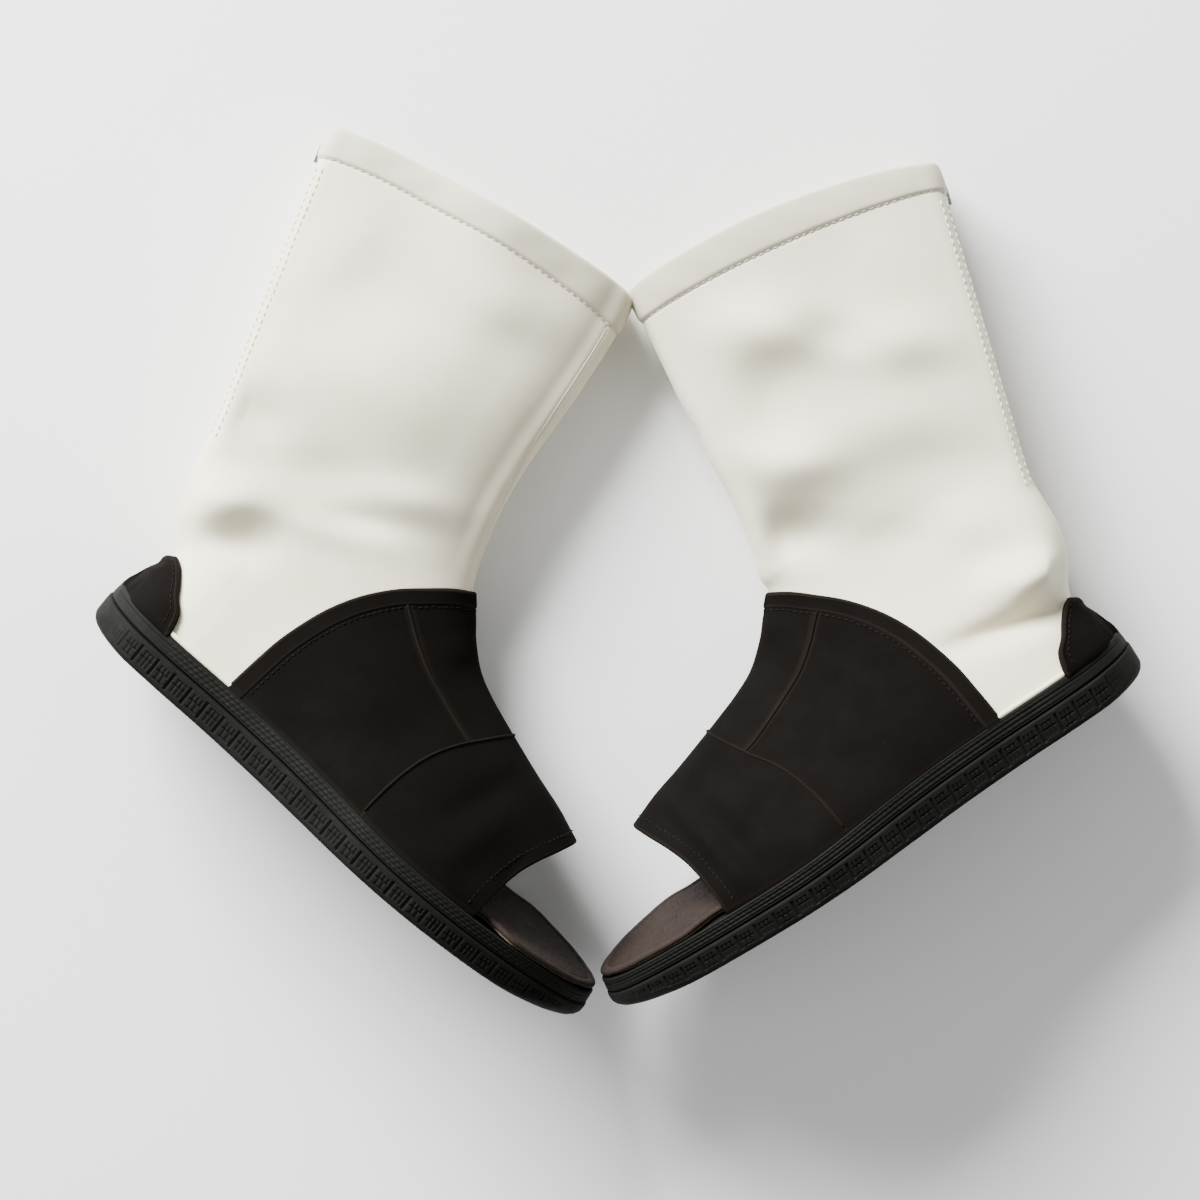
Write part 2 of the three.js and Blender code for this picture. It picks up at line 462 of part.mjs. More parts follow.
  // across = +Z of the boot frame, up = along the zip with its slight slope, out = up x across
  const up = new THREE.Vector3(dirA * zipLength, dirB * zipLength, midTop - midBottom).normalize();
  const out = new THREE.Vector3(-dirB, dirA, 0).normalize();
  const across = new THREE.Vector3().crossVectors(out, up).normalize();
  zip.matrix.makeBasis(out, up, across).setPosition(zb[0], zb[1], midBottom);
  zip.matrix.decompose(zip.position, zip.quaternion, zip.scale);
  shaft.add(zip);
  const L = zipLength - 1.5;
  for (const [node, s] of [["outer", -1], ["inner", 1]]) {
    put(zip, `zip_tape_${node}`, box(0.7, L + 4, TAPE_HALF - 0.6, -5.0, L / 2 - 2, (s * (TAPE_HALF + 0.6)) / 2), "tape");
    // teeth: one comb of small blocks on a cord, in mesh with the other comb
    const profile = new THREE.Shape();
    const pitch = 6.2, count = Math.floor((L - 8) / pitch);
    profile.moveTo(0.5, 0);
    profile.lineTo(2.6, 0);
    profile.lineTo(2.6, count * pitch);
    profile.lineTo(0.5, count * pitch);
    for (let i = count; i-- > 0; ) {
      const y = i * pitch + (s > 0 ? 0 : pitch / 2);
      if (y + pitch * 0.36 < count * pitch && y > 0.2) {
        profile.lineTo(0.5, y + pitch * 0.36);
        profile.lineTo(-0.35, y + pitch * 0.3);
        profile.lineTo(-0.35, y + pitch * 0.1);
        profile.lineTo(0.5, y + pitch * 0.04);
      }
    }
    const comb = new THREE.ExtrudeGeometry(profile, { depth: 1.4, bevelEnabled: false });
    // shape x is across, y is along the zip, depth is outwards
    const m = new THREE.Matrix4().makeBasis(new THREE.Vector3(0, 0, s), new THREE.Vector3(0, 1, 0), new THREE.Vector3(1, 0, 0)).setPosition(-4.3, 5, 0);
    comb.applyMatrix4(m);
    put(zip, `zip_teeth_${node}`, closedFrom(comb), "coil");
    put(zip, `zip_top_stop_${node}`, box(1.8, 3, 1.7, -3.4, L - 0.6, s * 1.7), "metal");
  }
  put(zip, "zip_bottom_stop", box(2.2, 3.4, 5.4, -3.1, 2.4, 0), "metal");

  // slider: a body astride the teeth with a bridge, and a pull that swings on it
  const sliderGroup = new THREE.Group();
  sliderGroup.name = `${name}_slider_frame`;
  sliderGroup.position.set(0, L - 8, 0);
  zip.add(sliderGroup);
  const plate = new THREE.Shape();
  plate.moveTo(-3.2, -5); plate.lineTo(3.2, -5); plate.lineTo(4.0, 1); plate.lineTo(3.2, 5); plate.lineTo(-3.2, 5); plate.lineTo(-4.0, 1);
  const plateGeo = (x0) => new THREE.ExtrudeGeometry(plate, { depth: 1.0, bevelEnabled: false })
    .applyMatrix4(new THREE.Matrix4().makeBasis(new THREE.Vector3(0, 0, 1), new THREE.Vector3(0, 1, 0), new THREE.Vector3(-1, 0, 0)).setPosition(x0, 0, 0));
  // the front plate rides outside the teeth; the wedge post joins it to the bridge
  let body = manifoldOf(plateGeo(-1.4));
  body = body.add(manifoldOf(box(3.4, 1.6, 2.0, 0.1, 3.6, 0)));
  body = body.add(manifoldOf(box(3.4, 1.6, 2.0, 0.1, -3.6, 0)));
  body = body.add(manifoldOf(box(1.2, 8.8, 2.0, 1.8, 0, 0)));
  put(sliderGroup, "zip_slider", geometryOf(body), "metal");
  const pullGroup = new THREE.Group();
  pullGroup.name = `${name}_pull_frame`;
  pullGroup.position.set(0.05, -0.35, 0);
  sliderGroup.add(pullGroup);
  // the pull's eye goes round the bridge, and its tab hangs down the zip
  const tab = new THREE.Shape();
  tab.moveTo(-2.6, 0.45); tab.lineTo(2.6, 0.45); tab.lineTo(3.0, -9); tab.lineTo(3.9, -19); tab.lineTo(2.8, -22); tab.lineTo(-2.8, -22); tab.lineTo(-3.9, -19); tab.lineTo(-3.0, -9);
  const pull = manifoldOf(new THREE.ExtrudeGeometry(tab, { depth: 0.9, bevelEnabled: false })
    .applyMatrix4(new THREE.Matrix4().makeBasis(new THREE.Vector3(0, 0, 1), new THREE.Vector3(0, 1, 0), new THREE.Vector3(-1, 0, 0)).setPosition(0.45, 0, 0)))
    .subtract(manifoldOf(box(3, 5.7, 3, 0, -3.3, 0)))
    .subtract(manifoldOf(box(3, 5.5, 3.6, 0, -16.2, 0)));
  put(pullGroup, "zip_pull", geometryOf(pull), "metal");

  group.name = `${name}_boot`;
  group.rotation.z = THREE.MathUtils.degToRad(boot.angle);
  group.scale.x = boot.mirror ? -1 : 1;
  group.position.set(boot.origin[0], boot.origin[1], 0);
  return group;
}
function closedFrom(geometry) {
  const g = geometry.index ? geometry.toNonIndexed() : geometry;
  return closed(Array.from(g.attributes.position.array), Array.from({ length: g.attributes.position.count }, (_, i) => i));
}

const pair = new THREE.Group();
for (const [name, boot] of Object.entries(BOOTS)) pair.add(makeBoot(name, boot));

// The frame: the middle of the pair's footprint at the surface it lies on.
pair.updateMatrixWorld(true);
const extent = new THREE.Box3().setFromObject(pair, true);
const middle = extent.getCenter(new THREE.Vector3());
pair.position.set(-middle.x, -middle.y, -extent.min.z);

export default pair;
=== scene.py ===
# A pair of open-toe neoprene boots, lying on their inner sides: the visual model.
# Shapes are made in each boot's own flat frame, in millimetres: a runs along the sole from heel to toe,
# b from the sole to the top of the shaft, h up from the surface the boots lie on.
import math

import bpy
import numpy as np
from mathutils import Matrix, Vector


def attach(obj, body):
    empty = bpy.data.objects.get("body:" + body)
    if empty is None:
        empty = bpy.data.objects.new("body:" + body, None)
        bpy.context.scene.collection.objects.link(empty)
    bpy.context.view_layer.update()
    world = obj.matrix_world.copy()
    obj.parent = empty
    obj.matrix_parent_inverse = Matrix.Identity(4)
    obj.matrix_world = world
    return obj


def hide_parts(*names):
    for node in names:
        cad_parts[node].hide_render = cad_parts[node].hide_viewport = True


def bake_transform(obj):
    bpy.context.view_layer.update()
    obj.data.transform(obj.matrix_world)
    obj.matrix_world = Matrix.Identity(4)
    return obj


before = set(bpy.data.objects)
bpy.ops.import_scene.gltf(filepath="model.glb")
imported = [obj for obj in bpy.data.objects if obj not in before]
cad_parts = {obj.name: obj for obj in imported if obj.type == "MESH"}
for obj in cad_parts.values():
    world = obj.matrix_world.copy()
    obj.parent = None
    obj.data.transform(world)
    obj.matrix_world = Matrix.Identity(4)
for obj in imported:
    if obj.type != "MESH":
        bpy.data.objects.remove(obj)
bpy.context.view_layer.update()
rng = np.random.default_rng(7)

# ------------------------------------------------------------------ dimensions, as in the solids
NEO = 3.0
TILT = math.radians(7.5)
cT, sT = math.cos(TILT), math.sin(TILT)
SHIFT = np.array([-8.34041, -13.52844, 0.57237])
ZIP_GAP = 4.4
VAMP_PROUD = 1.6
HEEL_RIM = 6.4

OUTLINE = [(-2.5, 35), (0, 23), (6.4, 12.5), (17.4, 4.6), (38, 0), (70, 3), (104, 7.5), (140, 5), (174, 0.6), (205, 0),
           (230, 3.4), (250, 10), (266, 20), (277, 33), (281, 45), (279, 57), (271, 69.5), (256, 81.5), (236, 91.5),
           (212, 98.4), (186, 101), (160, 98), (130, 89), (100, 80), (70, 74), (42, 71), (21, 66.5), (6.4, 56.4), (-0.2, 46.5)]
RIDGE = [(123, 112), (131, 103), (137, 96), (148, 86.5), (160, 80.5), (172, 76), (185, 71.5), (200, 66.5), (215, 62), (230, 56.5), (246, 51)]
VAMP_TOP = [(71, 30), (72.5, 41), (75.5, 53), (80, 66), (87, 79), (96.5, 91), (107, 100.5), (115.5, 107.5)]
TOE_EDGE = [(215.2, 14), (216.5, 24), (218.5, 33), (222, 41), (226.5, 49)]
HEEL_LINE = [(7.5, 42), (9.5, 34), (9, 25), (7, 15), (6, 4)]

BOOTS = {
    "right": dict(
        mirror=False, angle=-39.9, origin=(-224.65, -4.44), drop=0.0,
        front=[(92.5, 275), (94.5, 258), (98.5, 240), (101.5, 216), (103, 199), (104, 182), (106, 166), (109, 150), (113, 136), (118, 122)],
        back=[(-68, 250.5), (-61.5, 231), (-52.5, 204), (-43.3, 176.5), (-34.1, 149), (-25, 122), (-16, 95), (-12.8, 83), (-9, 69), (-3.5, 56), (3, 48)],
        hem_top=[(-56, 235), (-36, 241), (-9, 247), (27, 254), (64, 259.5), (86, 261.5)],
        hem_line=[(-47, 223), (-25, 229.5), (0, 234.5), (28, 240), (56, 243.5), (78, 245)],
        zip=((-16, 95), (-61.5, 231)),
        instep_seam=(0.47, 0.47), toe_seam=(0.555, 0.56, 0.555), front_seam=(0.02, 0.16, 0.215),
        # (a, b, radius along a, radius along b, turn in degrees, height)
        bumps=[(14.7, 77, 19, 11, 38, 4.6), (26, 60, 16, 9, 30, -2.4), (44, 112, 34, 12, 24, -2.0), (70, 124, 26, 9, 26, 2.0), (50, 92, 24, 8, 22, 1.6), (62, 104, 20, 7, 30, -1.6),
               (10, 150, 30, 26, 40, 2.4), (30, 205, 26, 22, 30, -2.0), (52, 222, 26, 14, 20, 1.8), (-20, 196, 16, 26, 0, 1.4), (64, 170, 24, 30, 0, 1.5), (-2, 112, 16, 12, 20, -1.8)],
        crown=(5.2, 60, 3.0, 34), swell=(8.5, 70, 31),
    ),
    "left": dict(
        mirror=True, angle=32.1, origin=(241.35, -27.2), drop=4.2,
        front=[(103.5, 278), (104.5, 263), (107.3, 239), (109.3, 222), (111, 207), (112, 191), (114, 176), (115, 161), (117, 146), (120, 132), (123, 121)],
        back=[(-49.2, 252.5), (-43.8, 233), (-35.7, 204), (-28, 176), (-20.2, 148), (-12.5, 120.5), (-5.5, 95), (-5, 84), (-4.5, 70), (-1.5, 57), (4, 48)],
        hem_top=[(-40, 239), (-19, 247.5), (8, 255), (36, 260.5), (63, 263), (91, 264)],
        hem_line=[(-36, 227), (-14, 233.5), (12, 239), (38, 243), (65, 246), (92, 247.5)],
        zip=((-5.5, 95), (-43.8, 233)),
        instep_seam=(0.4, 0.47), toe_seam=(0.575, 0.605, 0.565), front_seam=(-0.02, -0.16, -0.215),
        bumps=[(20, 57, 22, 9.5, 14, 5.0), (40, 43.5, 32, 6.0, 13, -3.4), (59, 213, 26, 15, 32, 4.2), (14.8, 178, 24, 13, 32, 3.0), (36, 196, 9, 20, -40, -1.4),
               (99, 129, 19, 13, 32, -4.6), (85, 158, 22, 12, 28, 3.2), (40, 150, 30, 16, 20, 1.6), (22, 120, 26, 12, 30, -0.8), (60, 104, 26, 10, 20, -0.7), (78, 186, 14, 22, 10, -1.8), (30, 92, 20, 12, 30, 1.6)],
        crown=(4.2, 46, 3.0, 34), swell=(2.6, 48, 26),
    ),
}


# ------------------------------------------------------------------ curves and surfaces
def smooth(a, b, x):
    t = np.clip((np.asarray(x, float) - a) / (b - a), 0, 1)
    return t * t * (3 - 2 * t)


def lerp(a, b, t):
    return a + (b - a) * t


def spline(pts, n=240):
    """An evenly spaced Catmull-Rom curve through the points."""
    p = np.array(pts, float)
    q = np.vstack([p[:1], p, p[-1:]])
    out = []
    for i in range(len(p) - 1):
        p0, p1, p2, p3 = q[i], q[i + 1], q[i + 2], q[i + 3]
        t = np.linspace(0, 1, 24, endpoint=(i == len(p) - 2))[:, None]
        out.append(0.5 * (2 * p1 + (p2 - p0) * t + (2 * p0 - 5 * p1 + 4 * p2 - p3) * t ** 2 + (3 * p1 - p0 - 3 * p2 + p3) * t ** 3))
    return even(np.vstack(out), n)


def even(line, n):
    line = np.asarray(line, float)
    d = np.r_[0, np.cumsum(np.linalg.norm(np.diff(line, axis=0), axis=1))]
    s = np.linspace(0, d[-1], n + 1)
    return np.stack([np.interp(s, d, line[:, k]) for k in range(line.shape[1])], 1)


def along(line, t):
    t = np.clip(np.asarray(t, float), 0, 1) * (len(line) - 1)
    x = np.arange(len(line))
    return np.stack([np.interp(t, x, line[:, k]) for k in range(line.shape[1])], -1)


def between(line, p, q, n=240):
    i = int(np.argmin(np.linalg.norm(line - np.array(p, float), axis=1)))
    j = int(np.argmin(np.linalg.norm(line - np.array(q, float), axis=1)))
    mid = line[i + 1:j] if i < j else line[j + 1:i][::-1]
    return even(np.vstack([np.array(p, float)[None], mid, np.array(q, float)[None]]), n)


def distance(line, A, B):
    shape = np.shape(A)
    P = np.stack([np.ravel(A), np.ravel(B)], 1)
    best = np.full(len(P), 1e9)
    for i in range(0, len(line) - 1):
        d = line[i + 1] - line[i]
        t = np.clip(((P - line[i]) @ d) / (d @ d), 0, 1)
        r = P - line[i] - t[:, None] * d
        best = np.minimum(best, r[:, 0] ** 2 + r[:, 1] ** 2)
    return np.sqrt(best).reshape(shape)


def coons(bottom, top, left, right, U, V):
    """A patch between four curves, on arrays of U (across) and V (along)."""
    B, T, L, R = along(bottom, U), along(top, U), along(left, V), along(right, V)
    u, v = U[..., None], V[..., None]
    c00, c10, c01, c11 = bottom[0], bottom[-1], top[0], top[-1]
    return (1 - v) * B + v * T + (1 - u) * L + u * R - ((1 - u) * (1 - v) * c00 + u * (1 - v) * c10 + (1 - u) * v * c01 + u * v * c11)


def thick(x):
    return lerp(22.0, lerp(18.8, 17.5, np.clip((x - 190) / 91, 0, 1)), smooth(105, 195, x))


# centripetal closed curve of the sole's outline
def closed_curve(pts, n):
    p = np.array(pts, float)
    m = len(p)
    out = []
    for i in range(m):
        p0, p1, p2, p3 = p[(i - 1) % m], p[i], p[(i + 1) % m], p[(i + 2) % m]
        t0 = 0
        t1 = t0 + np.linalg.norm(p1 - p0) ** 0.5
        t2 = t1 + np.linalg.norm(p2 - p1) ** 0.5
        t3 = t2 + np.linalg.norm(p3 - p2) ** 0.5
        t = np.linspace(t1, t2, 40, endpoint=False)[:, None]
        a1 = (t1 - t) / (t1 - t0) * p0 + (t - t0) / (t1 - t0) * p1
        a2 = (t2 - t) / (t2 - t1) * p1 + (t - t1) / (t2 - t1) * p2
        a3 = (t3 - t) / (t3 - t2) * p2 + (t - t2) / (t3 - t2) * p3
        b1 = (t2 - t) / (t2 - t0) * a1 + (t - t0) / (t2 - t0) * a2
        b2 = (t3 - t) / (t3 - t1) * a2 + (t - t1) / (t3 - t1) * a3
        out.append((t2 - t) / (t2 - t1) * b1 + (t - t1) / (t2 - t1) * b2)
    line = np.vstack(out + [out[0][:1]])
    return even(line, n)[:-1]


RING = closed_curve(OUTLINE, 1200)
_t = np.roll(RING, -1, 0) - np.roll(RING, 1, 0)
_t /= np.linalg.norm(_t, axis=1)[:, None]
RING_IN = np.stack([-_t[:, 1], _t[:, 0]], 1)  # points to the inside
if np.sum((np.mean(RING, 0) - RING) * RING_IN) < 0:
    RING_IN = -RING_IN
RING_S = np.r_[0, np.cumsum(np.linalg.norm(np.diff(RING, axis=0), axis=1))]
RING_LEN = RING_S[-1] + np.linalg.norm(RING[0] - RING[-1])
_xs = np.linspace(-2, 280, 400)


def width_at(x):
    lo, hi = [], []
    for v in _xs:
        d = RING[:, 0] - v
        k = np.nonzero(d * np.roll(d, -1) <= 0)[0]
        q = RING[k, 1]
        lo.append(q.min())
        hi.append(q.max())
    return np.array(lo), np.array(hi)


LO, HI = width_at(None)


class Boot:
    def __init__(self, name, spec):
        self.name = name
        self.s = spec
        t = math.radians(spec["angle"])
        m = -1.0 if spec["mirror"] else 1.0
        self.d = np.array([m * math.cos(t), m * math.sin(t)])
        self.u = np.array([-math.sin(t), math.cos(t)])
        self.o = np.array(spec["origin"]) + SHIFT[:2]
        self.front = spline(spec["front"] + RIDGE)
        self.back = spline(spec["back"] + HEEL_LINE)
        self.ridge = between(spline(RIDGE), RIDGE[0], (230.5, 56.2))

    def world(self, P):
        """From the boot's flat frame in millimetres to the object's frame in metres."""
        P = np.asarray(P, float)
        xy = self.o + P[..., 0:1] * self.d + P[..., 1:2] * self.u
        return np.concatenate([xy, P[..., 2:3] + SHIFT[2]], -1) / 1000.0

    def at(self, a, b, h=20.0):
        return tuple(float(v) for v in self.world(np.array([a, b, h], float)))

    def lay(self, x, q, z):
        drop = self.s["drop"] * np.clip((x - 195) / 86, 0, 1.05) ** 2
        return np.stack([x + 0 * z, z * cT - q * sT - drop, q * cT + z * sT], -1)

    def bump(self, a, b):
        h = np.zeros(np.shape(a))
        for (ca, cb, ra, rb, turn, amp) in self.s["bumps"]:
            amp = amp * 1.9
            t = math.radians(turn)
            x, y = a - ca, b - cb
            X, Y = (x * math.cos(t) + y * math.sin(t)) / ra, (-x * math.sin(t) + y * math.cos(t)) / rb
            h = h + amp * np.exp(-(X * X + Y * Y))
        return h

    def height(self, a, b, side, soft=1.0):
        a, b = np.asarray(a, float), np.asarray(b, float)
        x = np.clip(a, 40, 216)
        hi = np.interp(x, _xs, HI)
        rim = (hi - 3.5) * cT + thick(x) * sT
        outer = lerp(rim, lerp(44, 39, smooth(110, 250, b)), smooth(6, 112, b))
        inner = lerp(6.2, 0.6, smooth(14, 48, b))
        rf, pf = lerp(86, 31, smooth(92, 150, b)), lerp(2.0, 2.3, smooth(90, 150, b))
        rb, pb = lerp(36, 23, smooth(40, 100, b)), lerp(2.0, 4.0, smooth(45, 100, b))
        df, db = distance(self.front, a, b), distance(self.back, a, b)
        ef = (1 - (1 - np.clip(df / rf, 0, 1)) ** pf) ** (1 / pf)
        eb = (1 - (1 - np.clip(db / rb, 0, 1)) ** pb) ** (1 / pb)
        h = (outer + inner) / 2 + side * (outer - inner) / 2 * ef * eb
        if soft:
            w = smooth(2, 16, df) * smooth(2, 14, db)
            amp = self.bump(a, b) * w * soft
            h = h + (amp if np.ndim(side) == 0 and side > 0 else np.where(np.asarray(side) > 0, amp, 0.0))
        return h

    def rim(self, a, side):
        a = np.atleast_1d(np.asarray(a, float))
        b = np.full(a.shape, 16.0)
        for _ in range(4):
            h = self.height(a, b, side, 0)
            b = thick(a) * cT - ((h - thick(a) * sT) / cT) * sT + 0.8
        return np.stack([a, b], -1)


# ------------------------------------------------------------------ mesh helpers
def normals(P):
    n, m = P.shape[:2]
    du, dv = np.empty_like(P), np.empty_like(P)
    du[1:-1] = P[2:] - P[:-2]
    du[0], du[-1] = P[1] - P[0], P[-1] - P[-2]
    dv[:, 1:-1] = P[:, 2:] - P[:, :-2]
    dv[:, 0], dv[:, -1] = P[:, 1] - P[:, 0], P[:, -1] - P[:, -2]
    N = np.cross(du, dv)
    N /= np.linalg.norm(N, axis=2)[..., None] + 1e-12
    return N


def relax(N, rounds=2):
    for _ in range(rounds):
        M = N.copy()
        M[1:-1] += 0.5 * (N[2:] + N[:-2])
        M[:, 1:-1] += 0.5 * (N[:, 2:] + N[:, :-2])
        N = M / (np.linalg.norm(M, axis=2)[..., None] + 1e-12)
    return N


def new_object(name, verts, faces, material, uvs=None, shade=True, attrs=None):
    me = bpy.data.meshes.new(name)
    me.from_pydata([tuple(v) for v in np.asarray(verts, float)], [], [tuple(int(i) for i in f) for f in faces])
    me.validate()
    me.update()
    if uvs is not None:
        layer = me.uv_layers.new(name="flat")
        loops = np.empty(len(me.loops), dtype=np.int32)
        me.loops.foreach_get("vertex_index", loops)
        layer.data.foreach_set("uv", np.asarray(uvs, dtype=np.float32)[loops].ravel())
    for key, values in (attrs or {}).items():
        at = me.attributes.new(key, "FLOAT", "POINT")
        at.data.foreach_set("value", np.asarray(values, dtype=np.float32))
    if shade:
        me.polygons.foreach_set("use_smooth", [True] * len(me.polygons))
    ob = bpy.data.objects.new(name, me)
    bpy.context.scene.collection.objects.link(ob)
    if isinstance(material, (list, tuple)):
        for mt in material:
            me.materials.append(mt)
    else:
        me.materials.append(material)
    return ob


def orient(ob):
    """Turns every face outwards."""
    import bmesh
    bm = bmesh.new()
    bm.from_mesh(ob.data)
    bmesh.ops.recalc_face_normals(bm, faces=bm.faces)
    bm.to_mesh(ob.data)
    bm.free()
    return ob


def shell(boot, name, P, thickness, proud, material, steps=6, bulge=0.35, flip=False, N=None, attrs=None, offset=None, edge_to=None):
    """A closed sheet with rounded edges over the grid P, in the boot's flat frame."""
    n, m = P.shape[:2]
    if N is None:
        N = relax(normals(P))
    if flip:
        N = -N
    off = 0.0 if offset is None else offset[..., None]
    mid = P + N * (proud - thickness / 2) + N * off
    outer, inner = mid + N * thickness / 2, mid - N * thickness / 2
    loop = [(i, 0) for i in range(n)] + [(n - 1, j) for j in range(1, m)] + [(i, m - 1) for i in range(n - 2, -1, -1)] + [(0, j) for j in range(m - 2, 0, -1)]
    L = np.array(loop)
    C = mid[L[:, 0], L[:, 1]]
    NL = N[L[:, 0], L[:, 1]]
    tang = np.roll(C, -1, 0) - np.roll(C, 1, 0)
    T = np.cross(tang, NL)
    T /= np.linalg.norm(T, axis=1)[:, None] + 1e-12
    inward = P[np.clip(L[:, 0], 1, n - 2), np.clip(L[:, 1], 1, m - 2)] - P[L[:, 0], L[:, 1]]
    if np.sum(np.sum(T * inward, 1)) > 0:
        T = -T
    verts = [outer.reshape(-1, 3), inner.reshape(-1, 3)]
    # arc length along each way, for the flat pattern
    su = np.r_[0, np.cumsum(np.mean(np.linalg.norm(np.diff(P, axis=0), axis=2), axis=1))]
    sv = np.r_[0, np.cumsum(np.mean(np.linalg.norm(np.diff(P, axis=1), axis=2), axis=0))]
    UVg = np.stack(np.meshgrid(su, sv, indexing="ij"), -1).reshape(-1, 2) / 1000.0
    uvs = [UVg, UVg]
    faces = []
    idx = np.arange(n * m).reshape(n, m)
    q = np.stack([idx[:-1, :-1], idx[1:, :-1], idx[1:, 1:], idx[:-1, 1:]], -1).reshape(-1, 4)
    faces += q.tolist() + (q[:, ::-1] + n * m).tolist()
    base = 2 * n * m
    k = len(loop)
    prev = idx[L[:, 0], L[:, 1]]
    for s in range(1, steps):
        phi = math.pi * s / steps
        ring = C + NL * (thickness / 2) * math.cos(phi) + T * (thickness * bulge) * math.sin(phi)
        verts.append(ring)
        uvs.append(UVg[idx[L[:, 0], L[:, 1]]])
        cur = base + (s - 1) * k + np.arange(k)
        faces += np.stack([prev, np.roll(prev, -1), np.roll(cur, -1), cur], -1).tolist()
        prev = cur
    last = idx[L[:, 0], L[:, 1]] + n * m
    faces += np.stack([prev, np.roll(prev, -1), np.roll(last, -1), last], -1).tolist()
    V = np.vstack(verts)
    extra = None
    if attrs:
        extra = {}
        for key, g in attrs.items():
            g = np.asarray(g, float).reshape(-1)
            edge = g[idx[L[:, 0], L[:, 1]]]
            extra[key] = np.concatenate([g, g] + [edge] * (steps - 1))
    ob = new_object(name, boot.world(V), faces, material, np.vstack(uvs), attrs=extra)
    return orient(ob)


def frames_along(path, normal=None):
    T = np.gradient(path, axis=0)
    T /= np.linalg.norm(T, axis=1)[:, None] + 1e-12
    if normal is None:
        normal = np.tile([0, 0, 1.0], (len(path), 1))
    S = np.cross(T, normal)
    S /= np.linalg.norm(S, axis=1)[:, None] + 1e-12
    return T, S, np.cross(S, T)


def tube(boot, name, path, radius, material, sides=10, normal=None, flat=1.0, closed=False):
    """A rounded cord of mesh along a path, with tapered ends. radius may be an array."""
    n = len(path)
    T, S, B = frames_along(path, normal)
    r = np.full(n, float(radius)) if np.ndim(radius) == 0 else np.asarray(radius, float)
    if not closed:
        r = r.copy()
        r[0] *= 0.55
        r[-1] *= 0.55
    ang = np.arange(sides) * 2 * math.pi / sides
    V = path[:, None, :] + r[:, None, None] * (np.cos(ang)[None, :, None] * S[:, None, :] + flat * np.sin(ang)[None, :, None] * B[:, None, :])
    idx = np.arange(n * sides).reshape(n, sides)
    a, b = (idx, np.roll(idx, -1, 0)) if closed else (idx[:-1], idx[1:])
    q = np.stack([a, np.roll(a, -1, 1), np.roll(b, -1, 1), b], -1).reshape(-1, 4)
    faces = q.tolist()
    V = V.reshape(-1, 3)
    if not closed:
        c0, c1 = len(V), len(V) + 1
        V = np.vstack([V, path[0] - T[0] * r[0] * 0.6, path[-1] + T[-1] * r[-1] * 0.6])
        faces += [(idx[0, (j + 1) % sides], idx[0, j], c0) for j in range(sides)]
        faces += [(idx[-1, j], idx[-1, (j + 1) % sides], c1) for j in range(sides)]
    s = np.r_[0, np.cumsum(np.linalg.norm(np.diff(path, axis=0), axis=1))]
    uv = np.stack([np.repeat(s, sides), np.tile(ang, n)], 1) / np.array([1000.0, 6.28])
    if not closed:
        uv = np.vstack([uv, uv[:1], uv[-1:]])
    return orient(new_object(name, boot.world(V), faces, material, uv))


def stitches(boot, name, path, nrm, material, length=2.5, gap=1.0, r=0.32, lift=0.12, wobble=0.12):
    """A row of short sewn threads lying on a surface along a path."""
    s = np.r_[0, np.cumsum(np.linalg.norm(np.diff(path, axis=0), axis=1))]
    total = s[-1]
    count = max(1, int(total // (length + gap)))
    sides, rings = 6, 5
    V, F = [], []
    for c in range(count):
        s0 = (c + 0.5) * total / count - length / 2
        jit = rng.normal(0, wobble, 2)
        t = np.linspace(0, 1, rings)
        ss = s0 + t * length
        P = np.stack([np.interp(ss, s, path[:, k]) for k in range(3)], 1)
        Nn = np.stack([np.interp(ss, s, nrm[:, k]) for k in range(3)], 1)
        Nn /= np.linalg.norm(Nn, axis=1)[:, None]
        T = P[-1] - P[0]
        T /= np.linalg.norm(T) + 1e-12
        S = np.cross(np.tile(T, (rings, 1)), Nn)
        S /= np.linalg.norm(S, axis=1)[:, None] + 1e-12
        P = P + S * (jit[0] + (t[:, None] - 0.5) * jit[1])
        rad = r * np.array([0.45, 0.95, 1.0, 0.95, 0.45])
        rise = lift + r * 0.7 * np.sin(math.pi * t) - 0.1
        ang = np.arange(sides) * 2 * math.pi / sides
        G = P[:, None] + Nn[:, None] * rise[:, None, None] + rad[:, None, None] * (np.cos(ang)[None, :, None] * S[:, None] + np.sin(ang)[None, :, None] * Nn[:, None])
        b0 = len(V) * 0 + sum(len(v) for v in V)
        V.append(G.reshape(-1, 3))
        idx = b0 + np.arange(rings * sides).reshape(rings, sides)
        for i in range(rings - 1):
            for j in range(sides):
                F.append((idx[i, j], idx[i, (j + 1) % sides], idx[i + 1, (j + 1) % sides], idx[i + 1, j]))
        F.append(tuple(idx[0, ::-1]))
        F.append(tuple(idx[-1]))
    return orient(new_object(name, boot.world(np.vstack(V)), F, material))


def parent_all(children, parent):
    for c in children:
        c.parent = parent


